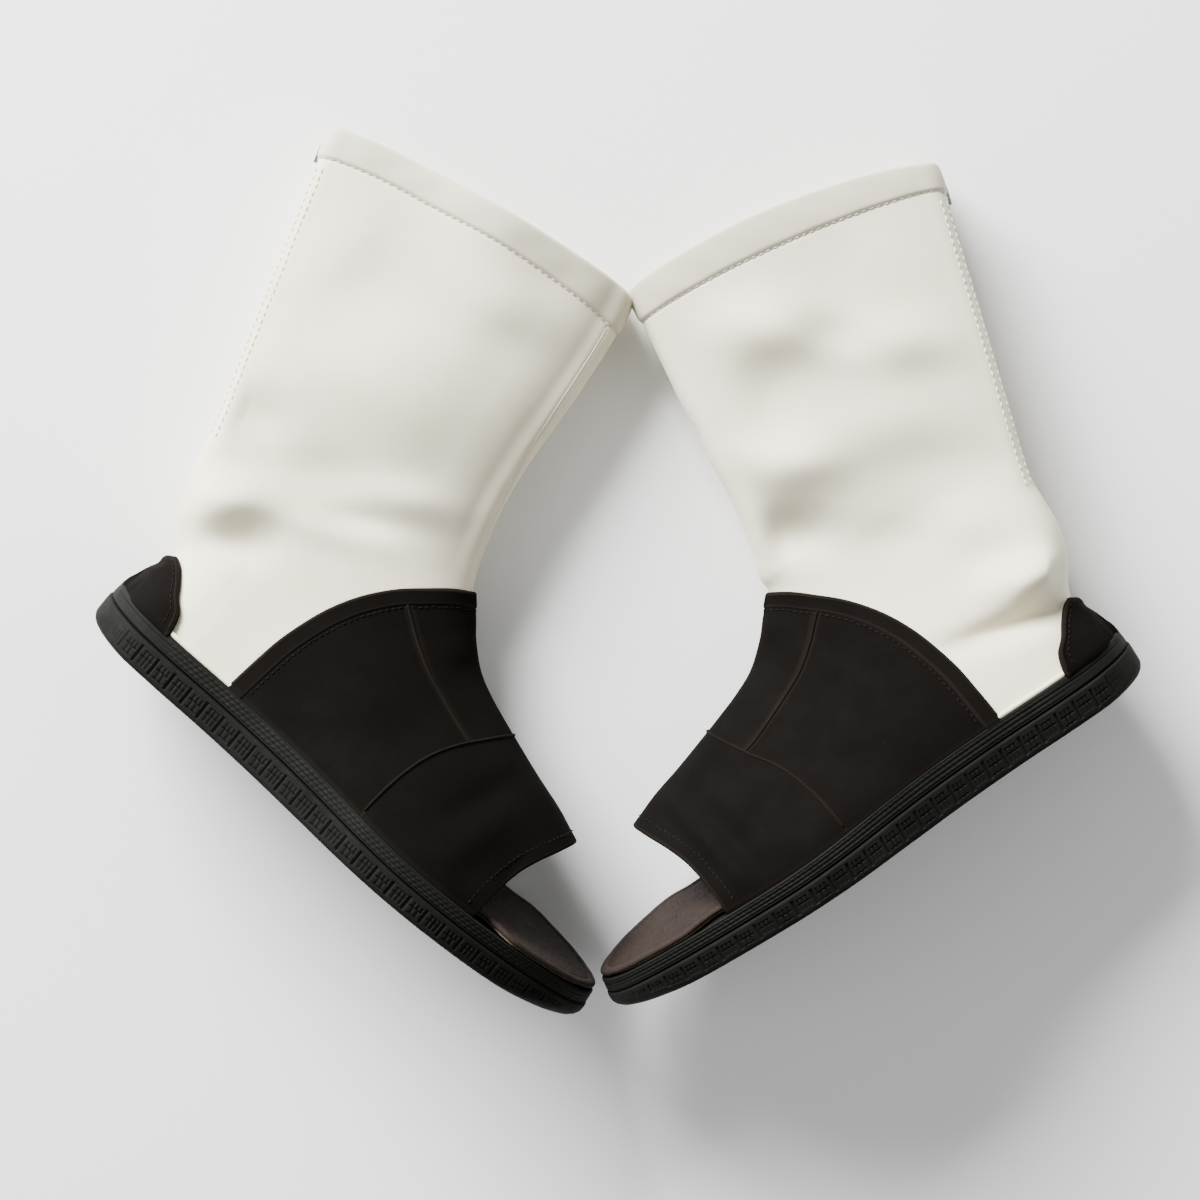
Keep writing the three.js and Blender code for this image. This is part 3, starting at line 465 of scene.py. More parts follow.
# ------------------------------------------------------------------ materials
class Graph:
    def __init__(self, name):
        self.m = bpy.data.materials.new(name)
        self.m.use_nodes = True
        self.t = self.m.node_tree
        self.t.nodes.clear()
        self.out = self.t.nodes.new("ShaderNodeOutputMaterial")
        self.b = self.t.nodes.new("ShaderNodeBsdfPrincipled")
        self.t.links.new(self.b.outputs[0], self.out.inputs[0])
        self.co = self.t.nodes.new("ShaderNodeTexCoord")

    def set(self, **kw):
        for k, v in kw.items():
            s = self.b.inputs[k.replace("_", " ")]
            s.default_value = v
        return self

    def link(self, a, b):
        self.t.links.new(a, b)

    def mapping(self, scale=(1, 1, 1), rot=(0, 0, 0), src="Object"):
        n = self.t.nodes.new("ShaderNodeMapping")
        n.inputs["Scale"].default_value = scale
        n.inputs["Rotation"].default_value = rot
        self.link(self.co.outputs[src], n.inputs["Vector"])
        return n.outputs[0]

    def noise(self, scale, detail=3.0, rough=0.55, vec=None, distort=0.0):
        n = self.t.nodes.new("ShaderNodeTexNoise")
        n.inputs["Scale"].default_value = scale
        n.inputs["Detail"].default_value = detail
        n.inputs["Roughness"].default_value = rough
        n.inputs["Distortion"].default_value = distort
        self.link(vec if vec is not None else self.co.outputs["Object"], n.inputs["Vector"])
        return n.outputs["Fac"]

    def voronoi(self, scale, vec=None, feature="F1", rand=1.0):
        n = self.t.nodes.new("ShaderNodeTexVoronoi")
        n.feature = feature
        n.inputs["Scale"].default_value = scale
        n.inputs["Randomness"].default_value = rand
        self.link(vec if vec is not None else self.co.outputs["Object"], n.inputs["Vector"])
        return n.outputs["Distance"]

    def wave(self, scale, vec=None, direction="X", distort=0.0, dscale=1.0, profile="SIN"):
        n = self.t.nodes.new("ShaderNodeTexWave")
        n.bands_direction = direction
        n.wave_profile = profile
        n.inputs["Scale"].default_value = scale
        n.inputs["Distortion"].default_value = distort
        n.inputs["Detail"].default_value = 1.5
        n.inputs["Detail Scale"].default_value = dscale
        self.link(vec if vec is not None else self.co.outputs["Object"], n.inputs["Vector"])
        return n.outputs["Fac"]

    def math(self, op, a, b=None, c=None, clamp=False):
        n = self.t.nodes.new("ShaderNodeMath")
        n.operation = op
        n.use_clamp = clamp
        for i, v in enumerate((a, b, c)):
            if v is None:
                continue
            if isinstance(v, (int, float)):
                n.inputs[i].default_value = v
            else:
                self.link(v, n.inputs[i])
        return n.outputs[0]

    def remap(self, v, a, b, c, d, smooth_step=False):
        n = self.t.nodes.new("ShaderNodeMapRange")
        if smooth_step:
            n.interpolation_type = "SMOOTHSTEP"
        for i, x in enumerate((a, b, c, d)):
            n.inputs[i + 1].default_value = x
        self.link(v, n.inputs[0])
        return n.outputs[0]

    def ramp(self, v, stops):
        n = self.t.nodes.new("ShaderNodeValToRGB")
        cr = n.color_ramp
        while len(cr.elements) < len(stops):
            cr.elements.new(0.5)
        for e, (p, c) in zip(cr.elements, stops):
            e.position = p
            e.color = (*c, 1.0)
        self.link(v, n.inputs[0])
        return n.outputs[0]

    def mix(self, fac, a, b, blend="MIX"):
        n = self.t.nodes.new("ShaderNodeMix")
        n.data_type = "RGBA"
        n.blend_type = blend
        if isinstance(fac, (int, float)):
            n.inputs[0].default_value = fac
        else:
            self.link(fac, n.inputs[0])
        for i, v in ((6, a), (7, b)):
            if isinstance(v, tuple):
                n.inputs[i].default_value = (*v, 1.0)
            else:
                self.link(v, n.inputs[i])
        return n.outputs[2]

    def attr(self, name):
        n = self.t.nodes.new("ShaderNodeAttribute")
        n.attribute_name = name
        return n.outputs["Fac"]

    def bump(self, h, strength, dist, prev=None):
        n = self.t.nodes.new("ShaderNodeBump")
        n.inputs["Strength"].default_value = strength
        n.inputs["Distance"].default_value = dist
        self.link(h, n.inputs["Height"])
        if prev is not None:
            self.link(prev, n.inputs["Normal"])
        return n.outputs[0]

    def color(self, v):
        self.link(v, self.b.inputs["Base Color"])

    def rough(self, v):
        self.link(v, self.b.inputs["Roughness"])

    def normal(self, v):
        self.link(v, self.b.inputs["Normal"])


def make_white(name="off_white_neoprene", k=1.0):
    g = Graph(name)
    cloud = g.noise(22, 3)
    fine = g.noise(160, 4)
    c = g.ramp(cloud, [(0.30, (0.73 * k, 0.675 * k, 0.500 * k)), (0.52, (0.77 * k, 0.72 * k, 0.545 * k)), (0.75, (0.81 * k, 0.765 * k, 0.590 * k))])
    c = g.mix(g.remap(fine, 0.35, 0.75, 0.0, 0.10), c, (0.67 * k, 0.61 * k, 0.44 * k))
    # handling marks, faint and warm
    marks = g.remap(g.noise(46, 5, 0.7, distort=0.6), 0.60, 0.74, 0.0, 0.16, True)
    c = g.mix(marks, c, (0.62 * k, 0.56 * k, 0.40 * k))
    # painted shade: the edge attribute darkens the cloth in the seam groove, at the zip edges, in the tape row's
    # groove and in the hem's stitch groove
    edge = g.attr("edge")
    c = g.mix(g.remap(edge, 0.0, 1.0, 0.0, 0.45), c, (0.50, 0.46, 0.36))
    g.color(c)
    g.rough(g.remap(g.noise(90, 3), 0.3, 0.7, 0.62, 0.78))
    v = g.mapping((1, 1, 1), src="UV")
    knit = g.wave(820, v, "X", 0.5, 2.0)
    knit2 = g.wave(700, v, "Y", 0.5, 2.0)
    n = g.bump(g.math("MULTIPLY", knit, knit2), 0.16, 0.00012)
    n = g.bump(g.noise(900, 3), 0.10, 0.00018, n)
    n = g.bump(g.noise(60, 3, 0.5), 0.22, 0.0006, n)
    g.normal(n)
    g.set(Sheen_Weight=0.12, Sheen_Roughness=0.5, Specular_IOR_Level=0.28)
    return g.m


def make_black(name="black_neoprene", lift=1.0):
    g = Graph(name)
    cloud = g.noise(26, 3)
    c = g.ramp(cloud, [(0.3, (0.0020 * lift, 0.0015 * lift, 0.0012 * lift)), (0.7, (0.0033 * lift, 0.0026 * lift, 0.0021 * lift))])
    v = g.mapping((1, 1, 1), src="UV")
    rib = g.wave(760, v, "Y", 0.6, 3.0)
    rib2 = g.wave(640, v, "X", 0.7, 3.0)
    c = g.mix(g.math("MULTIPLY", rib, 0.35), c, (0.0050 * lift, 0.0040 * lift, 0.0035 * lift))
    lint = g.remap(g.noise(700, 2, 0.6), 0.70, 0.78, 0.0, 0.25, True)
    c = g.mix(lint, c, (0.018, 0.015, 0.013))
    # painted highlight: the edge attribute lightens the black along the panels' rounded borders at the seams and along
    # the heel counter's edges
    edge = g.attr("edge")
    c = g.mix(g.remap(edge, 0.0, 1.0, 0.0, 0.45), c, (0.013, 0.0105, 0.0085))
    g.color(c)
    g.rough(g.remap(g.noise(70, 3), 0.3, 0.7, 0.78, 0.92))
    n = g.bump(g.math("ADD", rib, rib2), 0.22, 0.00014)
    n = g.bump(g.noise(1100, 2), 0.15, 0.00015, n)
    n = g.bump(g.noise(75, 3, 0.5), 0.25, 0.0008, n)
    g.normal(n)
    g.set(Sheen_Weight=0.0, Specular_IOR_Level=0.03)
    return g.m


def make_rubber(name, dark, light, rough=(0.55, 0.72)):
    g = Graph(name)
    c = g.ramp(g.noise(40, 4), [(0.3, dark), (0.7, light)])
    dust = g.remap(g.noise(150, 6, 0.7), 0.55, 0.75, 0.0, 0.30, True)
    c = g.mix(dust, c, (0.012, 0.0123, 0.0100))
    # painted shade: the groove attribute darkens the rubber in the recesses between the lugs, in the side wall's slots
    # and in the midsole's rib hollows
    groove = g.attr("groove")
    c = g.mix(g.remap(groove, 0.0, 1.0, 0.0, 0.7), c, (0.0022, 0.0023, 0.0018))
    g.color(c)
    g.rough(g.remap(g.noise(120, 3), 0.3, 0.7, *rough))
    n = g.bump(g.noise(1400, 3), 0.25, 0.00012)
    n = g.bump(g.noise(260, 3), 0.20, 0.0003, n)
    g.normal(n)
    g.set(Specular_IOR_Level=0.10)
    return g.m


def make_footbed():
    g = Graph("footbed_grain")
    # grain of short creases across the foot
    v = g.mapping((1, 1, 1), src="UV")
    warp = g.mapping((160, 520, 1), src="UV")
    creases = g.noise(1.0, 4, 0.6, warp, 1.2)
    cells = g.voronoi(620, g.mapping((0.55, 1.35, 1), src="UV"), "DISTANCE_TO_EDGE")
    edge = g.remap(cells, 0.0, 0.10, 0.0, 1.0)
    c = g.ramp(g.noise(30, 4), [(0.3, (0.0170, 0.0110, 0.0088)), (0.7, (0.0250, 0.0170, 0.0138))])
    c = g.mix(g.remap(edge, 0, 1, 0.55, 0.0), c, (0.0062, 0.0040, 0.0032))
    c = g.mix(g.remap(creases, 0.42, 0.60, 0.35, 0.0), c, (0.0080, 0.0052, 0.0042))
    c = g.mix(g.remap(g.attr("rim"), 0, 1, 0.0, 0.6), c, (0.024, 0.0172, 0.0142))
    g.color(c)
    g.rough(g.remap(creases, 0.3, 0.7, 0.62, 0.80))
    n = g.bump(edge, 0.45, 0.00022)
    n = g.bump(creases, 0.55, 0.0005, n)
    g.normal(n)
    g.set(Specular_IOR_Level=0.07)
    return g.m


def make_cloth(name, dark, light, scale=900, rough=0.8):
    g = Graph(name)
    v = g.mapping((1, 1, 1), src="UV")
    wx, wy = g.wave(scale * 0.35, v, "X", 0.3, 3), g.wave(scale * 0.35, v, "Y", 0.3, 3)
    w = g.math("MAXIMUM", wx, wy)
    c = g.ramp(w, [(0.2, dark), (0.8, light)])
    c = g.mix(g.remap(g.noise(60, 3), 0.4, 0.7, 0, 0.2), c, dark)
    g.color(c)
    g.rough(g.remap(g.noise(200, 3), 0.3, 0.7, rough - 0.08, rough + 0.06))
    g.normal(g.bump(w, 0.5, 0.0002))
    g.set(Specular_IOR_Level=0.25)
    return g.m


def make_thread(name, dark, light, spec=0.3):
    g = Graph(name)
    tw = g.wave(520, g.mapping((1, 1, 1), (0.3, 0.6, 0.7)), "DIAGONAL", 0.0, 1)
    g.color(g.ramp(tw, [(0.25, dark), (0.75, light)]))
    g.rough(g.remap(g.noise(400, 2), 0.3, 0.7, 0.5, 0.7))
    g.normal(g.bump(tw, 0.5, 0.0001))
    g.set(Specular_IOR_Level=spec)
    return g.m


def make_metal():
    g = Graph("nickel_metal")
    n1 = g.noise(240, 4)
    g.color(g.ramp(n1, [(0.3, (0.52, 0.52, 0.53)), (0.7, (0.66, 0.66, 0.67))]))
    g.rough(g.remap(g.noise(500, 3), 0.3, 0.7, 0.18, 0.34))
    g.normal(g.bump(g.noise(900, 2), 0.06, 0.0001))
    g.set(Metallic=1.0)
    return g.m


def make_plastic():
    g = Graph("zip_teeth_resin")
    g.color(g.ramp(g.noise(300, 3), [(0.3, (0.60, 0.58, 0.52)), (0.7, (0.70, 0.68, 0.62))]))
    g.rough(g.remap(g.noise(400, 3), 0.3, 0.7, 0.32, 0.46))
    g.normal(g.bump(g.noise(1200, 2), 0.1, 0.0001))
    g.set(Specular_IOR_Level=0.45)
    return g.m


def make_board():
    g = Graph("fibre_board")
    g.color(g.ramp(g.noise(500, 4), [(0.3, (0.20, 0.14, 0.09)), (0.7, (0.30, 0.22, 0.14))]))
    g.rough(g.remap(g.noise(300, 3), 0.3, 0.7, 0.8, 0.95))
    g.normal(g.bump(g.noise(700, 3), 0.4, 0.0003))
    return g.m


# the hem band's white is a copy of the off-white, darker all over by 0.78
WHITE, HEM, BLACK = make_white(), make_white("off_white_hem", 0.78), make_black()
# lighter copies of the black: the binding by 1.15; the piping by 2.2, a painted highlight on the raised cords
BLACK_EDGE = make_black("black_neoprene_binding", 1.15)
PAINTED_HIGHLIGHT_PIPING = make_black("black_piping", 2.2)
SOLE = make_rubber("outsole_rubber", (0.0031, 0.0034, 0.0025), (0.0052, 0.0056, 0.0042), (0.70, 0.88))
MID = make_rubber("midsole_rubber", (0.0036, 0.0039, 0.0029), (0.0060, 0.0064, 0.0049), (0.68, 0.84))
FOOTBED = make_footbed()
TAPE = make_cloth("zip_tape_weave", (0.55, 0.53, 0.47), (0.72, 0.70, 0.63))
SEAM_TAPE = make_cloth("seam_tape_weave", (0.60, 0.58, 0.52), (0.76, 0.74, 0.67), 1200)
WHITE_THREAD = make_thread("white_thread", (0.60, 0.58, 0.51), (0.80, 0.78, 0.71))
BLACK_THREAD = make_thread("black_thread", (0.0030, 0.0026, 0.0022), (0.0085, 0.0072, 0.0062), 0.08)
BROWN_THREAD = make_thread("brown_thread", (0.0070, 0.0046, 0.0036), (0.016, 0.011, 0.009), 0.1)
METAL, TEETH, BOARD = make_metal(), make_plastic(), make_board()


# ------------------------------------------------------------------ soles and footbeds
def low(x):
    return 0.64 * thick(x)


def box_wave(t, a, b, e=0.32):
    """1 inside [a, b], 0 outside, with soft sides."""
    return smooth(a - e, a + e, t) * (1 - smooth(b - e, b + e, t))


N_RING = len(RING)
CENTER_X = np.clip(RING[:, 0], 34, 236)
CENTER = np.stack([CENTER_X, (np.interp(CENTER_X, _xs, LO) + np.interp(CENTER_X, _xs, HI)) / 2], 1)


def ring_rows(B, rows, extra):
    """rows: list of (inset array or None, t to the centre, z array). Returns grid [row, ring, 3] in the flat frame."""
    out = []
    for inset, t, z in rows:
        p = RING + RING_IN * (inset if np.ndim(inset) == 0 else np.asarray(inset)[:, None])
        p = lerp(p, CENTER, t)
        out.append(B.lay(p[:, 0], p[:, 1], z * np.ones(N_RING)))
    return np.stack(out)


def ring_object(B, name, G, material, groove, uv_scale=1.0, extra=None):
    r, n = G.shape[:2]
    idx = np.arange(r * n).reshape(r, n)
    nxt = np.roll(idx, -1, 1)
    q = np.stack([idx[:-1], nxt[:-1], nxt[1:], idx[1:]], -1).reshape(-1, 4)
    s = np.tile(RING_S, r) / 1000.0
    w = np.repeat(np.r_[0, np.cumsum(np.mean(np.linalg.norm(np.diff(G, axis=0), axis=2), axis=1))], n) / 1000.0
    attrs = {"groove": groove.reshape(-1)}
    for k, v in (extra or {}).items():
        attrs[k] = v.reshape(-1)
    ob = new_object(name, B.world(G.reshape(-1, 3)), q.tolist(), material, np.stack([s, w], 1), attrs=attrs)
    return orient(ob)


def build_sole(B):
    x = RING[:, 0]
    tl = smooth(225, 281, x)
    L = low(x)
    hl = smooth(24, -2, x)
    zb = 2.2 + 5.8 * tl ** 2 + 2.6 * hl
    i0 = 2.0 + 10.5 * tl ** 2 + 2.5 * hl
    # groove holds the weights of painted shade in the recessed rows
    rows, groove = [], []

    # underside: lugs in slanted rows, with a plain rim
    def tread(P):
        u, w = P[:, 0], P[:, 1]
        tri = np.abs(((w / 17.0) % 1) - 0.5) * 2
        f = ((u / 9.5) + 0.45 * tri) % 1
        return box_wave(f, 0.30, 0.98, 0.07)

    for t in np.linspace(0.99, 0.0, 44):
        inset = i0 + 1.2
        p = lerp(RING + RING_IN * inset[:, None], CENTER, t)
        raised = np.maximum(tread(p), 1 - smooth(0.03, 0.08, t))
        rows.append((inset, t, 1.5 * (1 - raised)))
        groove.append(1 - raised)
    rows.append((i0, 0, 0 * x))
    groove.append(0 * x)
    for deg in (18, 34, 50, 66, 80):
        rows.append((i0 * (1 - math.sin(math.radians(deg))), 0, zb * (1 - math.cos(math.radians(deg)))))
        groove.append(0 * x)
    # side wall with block pattern
    period = RING_LEN / round(RING_LEN / 9.8)
    c = np.floor(RING_S / period)
    s = RING_S - c * period
    odd = (c.astype(int) % 2) == 1
    main = box_wave(s, -0.1, 1.05)
    slots = box_wave(s, 2.55, 3.15, 0.2) + box_wave(s, 4.65, 5.25, 0.2) + box_wave(s, 6.75, 7.35, 0.2)
    low_slots = box_wave(s, 3.6, 4.2, 0.2) + box_wave(s, 6.2, 6.8, 0.2)
    top = L - 2.0
    nz = 44
    for k in range(nz + 1):
        z = lerp(zb, top, k / nz)
        f = (z - zb) / (top - zb)
        mid = box_wave(f, 0.50, 0.56, 0.02) * box_wave(s, 2.0, 8.6)
        brim = box_wave(f, 0.80, 0.85, 0.02) * box_wave(s, 2.2, 7.7) * np.where(odd, 1, 0)
        up = slots * box_wave(f, 0.50, 0.84, 0.03)
        dn = np.where(odd, slots * box_wave(f, 0.14, 0.52, 0.03), low_slots * box_wave(f, 0.14, 0.52, 0.03))
        base = box_wave(f, 0.11, 0.16, 0.02) * box_wave(s, 2.2, 7.7) * np.where(odd, 0, 1)
        plain = smooth(8, 26, x) * (1 - smooth(262, 276, x))
        g = np.clip(main * box_wave(f, 0.04, 0.93, 0.03) + 0.75 * (mid + up + dn + brim + base), 0, 1) * plain
        # the blocks stand out in slightly different amounts and fade out round the heel and toe
        rows.append((0.85 * g + 0.12 * smooth(0.8, 1.0, f) + 0.05 * np.sin(c * 2.7) * (1 - g), 0, z))
        groove.append(g)
    for inset, dz, gr in ((0.12, -1.5, 0.0), (0.2, -1.1, 0.0), (0.42, -0.72, 0.05), (0.85, -0.45, 0.4), (1.6, -0.28, 0.9), (3.0, -0.2, 1.0), (5.5, -0.2, 1.0), (9.0, -0.2, 1.0)):
        rows.append((inset * (1 - 0.35 * tl), 0, L + dz))
        groove.append(gr * (1 - 0.5 * tl))
    rows.append((9.0, 0.99, L - 0.3))
    groove.append(1 + 0 * x)
    out = ring_object(B, f"{B.name}_outsole_lugged", ring_rows(B, rows, None), SOLE, np.stack(groove))

    # midsole: a smooth lip, then rope-like ribs in rows
    T = thick(x)
    # groove holds the weights of painted shade in the recessed rows
    rows, groove = [], []
    rows.append((9.0, 0.99, L - 0.15)); groove.append(1 + 0 * x)
    for inset, dz, gr in ((9.0, 0.0, 1.0), (4.6, 0.0, 1.0), (2.6, 0.05, 1.0), (1.7, 0.18, 0.9), (1.2, 0.40, 0.4), (0.95, 0.70, 0.05), (0.88, 1.0, 0.0)):
        rows.append((inset, 0, L + dz)); groove.append(gr + 0 * x)
    bead = smooth(26, 52, x) * (1 - 0.55 * smooth(238, 276, x))
    z0, z1 = L + 1.1, T - 0.85
    nz = 28
    for k in range(nz + 1):
        f = k / nz
        z = lerp(z0, z1, f)
        lanes = 3.0
        lane = f * lanes
        cell = np.floor(np.clip(lane, 0, lanes - 1e-6))
        v = lane - cell
        row = np.sin(math.pi * np.clip(v, 0, 1)) ** 0.6
        slant = (RING_S / 3.1 + 0.42 * v + 0.37 * cell) % 1
        rope = 1 - box_wave(slant, -0.2, 0.16, 0.10) - box_wave(slant, 0.84, 1.2, 0.10)
        d = 0.62 * (1 - row * (0.62 + 0.38 * np.clip(rope, 0, 1)))
        plain = 0.40 * box_wave(f, 0.60, 0.68, 0.03) + 0.15 * smooth(0.0, 1.0, f)
        dd = lerp(plain, d, bead)
        rows.append((0.85 + dd + 0.5 * f, 0, z))
        groove.append(np.clip(dd / 0.6, 0, 1) ** 1.5)
    for inset, dz, gr in ((1.5, -0.55, 0.0), (1.9, -0.25, 0.0), (2.6, -0.08, 0.0), (3.4, -0.1, 0.2), (4.4, -0.6, 1.0), (7.0, -1.1, 1.0)):
        rows.append((inset, 0, T + dz)); groove.append(gr + 0 * x)
    rows.append((9.0, 0.99, T - 1.2)); groove.append(1 + 0 * x)
    mid = ring_object(B, f"{B.name}_midsole_ribbed", ring_rows(B, rows, None), MID, np.stack(groove))

    # footbed
    inn = lerp(lerp(15, 10.9, smooth(16, 46, x)), 2.5, smooth(222, 240, x))
    rows, rim = [], []
    rows.append((inn + 6, 0.9, T + 1.1)); rim.append(0 * x)
    wav = 0.10 * np.sin(RING_S / 4.1) + 0.08 * np.sin(RING_S / 1.7 + 1.1)
    prof = ((0.5, 1.1, 1), (0.1, 1.5, 1), (0.0, 2.0, 1), (0.15, 2.6, 1), (0.6, 3.05, 1), (1.3, 3.3, 1), (2.4, 3.4, 1), (3.6, 3.3, 1), (4.3, 3.05, 0.6), (4.8, 2.65, 0.2),
            (5.3, 2.6, 0.2), (5.8, 2.85, 0.5), (6.6, 2.95, 0.2), (8.0, 2.9, 0), (10.0, 2.85, 0))
    for di, dz, rr in prof:
        rows.append((inn + di, 0, T + dz + wav * 0.5)); rim.append(rr + 0 * x)
    for t in np.linspace(0.08, 0.995, 22):
        rows.append((inn + 10.0, t, T + 2.85 - 0.5 * math.sin(math.pi * min(t, 0.5))))
        rim.append(0 * x)
    G = ring_rows(B, rows, None)
    fb = ring_object(B, f"{B.name}_footbed_grained", G, FOOTBED, np.zeros(G.shape[:2]), extra={"rim": np.stack(rim)})
    # flat pattern along the foot: rewrite the UVs so the creases run across it
    uv = fb.data.uv_layers["flat"].data
    loops = np.empty(len(fb.data.loops), dtype=np.int32)
    fb.data.loops.foreach_get("vertex_index", loops)
    pts = []
    for inset, t, z in rows:
        p = lerp(RING + RING_IN * (inset if np.ndim(inset) == 0 else np.asarray(inset)[:, None]), CENTER, t)
        pts.append(p)
    pts = np.concatenate(pts) / 1000.0
    uv.foreach_set("uv", pts[:, ::-1][loops].astype(np.float32).ravel())
    # stitched line inside the rim, where the toes show it
    k = np.nonzero(x > 200)[0]
    order = np.argsort(RING_S[k])
    p = (RING + RING_IN * (inn + 5.1)[:, None])[k][order]
    path = B.lay(p[:, 0], p[:, 1], (T + 2.62)[k][order])
    nrm = np.tile([0, cT, sT], (len(path), 1))
    st = stitches(B, f"{B.name}_footbed_stitches", path, nrm, BROWN_THREAD, 2.2, 1.3, 0.26, 0.05, 0.05)

    bd = CENTER * 0
    rows = [(inn + 3.4, 0.99, T - 0.3), (inn + 3.4, 0, T - 0.3), (inn + 3.1, 0, T + 0.1), (inn + 3.4, 0, T + 0.6), (inn + 3.4, 0.99, T + 0.6)]
    board = ring_object(B, f"{B.name}_insole_board_fibre", ring_rows(B, rows, None), BOARD, np.zeros((5, N_RING)))
    foot = f"{B.name}_foot"
    for ob, node, slot in ((out, "outsole", "rubber"), (mid, "midsole", "midsole"), (fb, "footbed", "footbed"), (board, "insole_board", "board")):
        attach(ob, foot)
        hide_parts(f"{B.name}_{node}")
    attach(st, foot)


# ------------------------------------------------------------------ the black foot upper
def vamp_setup(B):
    B.plan = {}
    for side in (1, -1):
        r0, r1 = B.rim(69, side)[0], B.rim(215, side)[0]
        top = spline([r0] + [p for p in VAMP_TOP if p[1] > r0[1] + 5] + [RIDGE[0]])
        toe = spline([r1] + [p for p in TOE_EDGE if p[1] > r1[1] + 5] + [(230.5, 56.2)])
        rim = even(B.rim(np.linspace(69, 215, 40), side), 240)
        B.plan[side] = (top, toe, rim, B.ridge)


def vamp_points(B, SIG, T):
    U = np.cos(np.abs(SIG) * math.pi / 2)
    pos = coons(*B.plan[1], U, T)
    neg = coons(*B.plan[-1], U, T)
    ab = np.where((SIG >= 0)[..., None], pos, neg)
    side = np.where(SIG >= 0, 1.0, -1.0)
    h = B.height(ab[..., 0], ab[..., 1], side, 0)
    return np.concatenate([ab, h[..., None]], -1)


def seam1(B, side, off=0.0):
    a, b = B.s["instep_seam"]
    return lambda t: side * (lerp(a, b, np.clip(t / 0.55, 0, 1)) + off)


def seam2(B, off=0.0):
    r, m, e = B.s["toe_seam"]
    return lambda sig: np.where(np.abs(sig) > 0.5, lerp(m, r, (np.abs(sig) - 0.5) * 2), lerp(e, m, np.abs(sig) * 2)) + off


def of(f, x):
    return f(x) if callable(f) else f + 0 * x


def vamp_grid(B, s0, s1, n, t0, t1, m, foot_rows=True):
    I = np.linspace(0, 1, n)[:, None] * np.ones((1, m))
    K = np.linspace(0, 1, m)[None, :] * np.ones((n, 1))
    T = K.copy()
    for _ in range(6):
        SIG = lerp(of(s0, T), of(s1, T), I)
        T = lerp(of(t0, SIG), of(t1, SIG), K)
    P = vamp_points(B, SIG, T)
    if foot_rows:
        down = np.array([0, -cT, -sT])
        add0, add1 = np.abs(SIG[0, 0]) > 0.98, np.abs(SIG[-1, 0]) > 0.98
        if add0:
            P = np.concatenate([P[:1] + down * 1.5, P], 0)
            SIG, T = np.concatenate([SIG[:1], SIG], 0), np.concatenate([T[:1], T], 0)
        if add1:
            P = np.concatenate([P, P[-1:] + down * 1.5], 0)
            SIG, T = np.concatenate([SIG, SIG[-1:]], 0), np.concatenate([T, T[-1:]], 0)
    return P, SIG, T


def folds(B, P, spec):
    """Soft ridges and hollows on the black upper: (a, b, ra, rb, turn, amp)."""
    h = np.zeros(P.shape[:-1])
    for (ca, cb, ra, rb, turn, amp) in spec:
        t = math.radians(turn)
        x, y = P[..., 0] - ca, P[..., 1] - cb
        X, Y = (x * math.cos(t) + y * math.sin(t)) / ra, (-x * math.sin(t) + y * math.cos(t)) / rb
        h = h + amp * np.exp(-(X * X + Y * Y))
    return h


VAMP_FOLDS = {
    "right": [(150, 52, 34, 14, 40, -0.5), (128, 60, 30, 18, 60, 0.45), (196, 36, 22, 7, 70, 0.9), (185, 46, 20, 6, 66, -0.9), (205, 22, 14, 8, 80, -0.7),
              (110, 44, 24, 16, 30, 0.6), (148, 88, 10, 14, -50, -1.2), (138, 92, 8, 12, -40, 0.9)],
    "left": [(150, 46, 34, 12, 40, -1.0), (120, 52, 26, 16, 30, 0.8), (205, 30, 26, 5.0, 78, 1.5), (196, 30, 26, 4.5, 78, -1.6), (186, 36, 24, 5, 74, 1.0), (214, 36, 18, 5, 80, -1.3),
             (177, 40, 20, 6, 66, -0.8), (140, 88, 9, 14, -55, -1.6), (150, 86, 8, 12, -50, 1.1), (131, 98, 7, 9, -60, 0.9)],
}


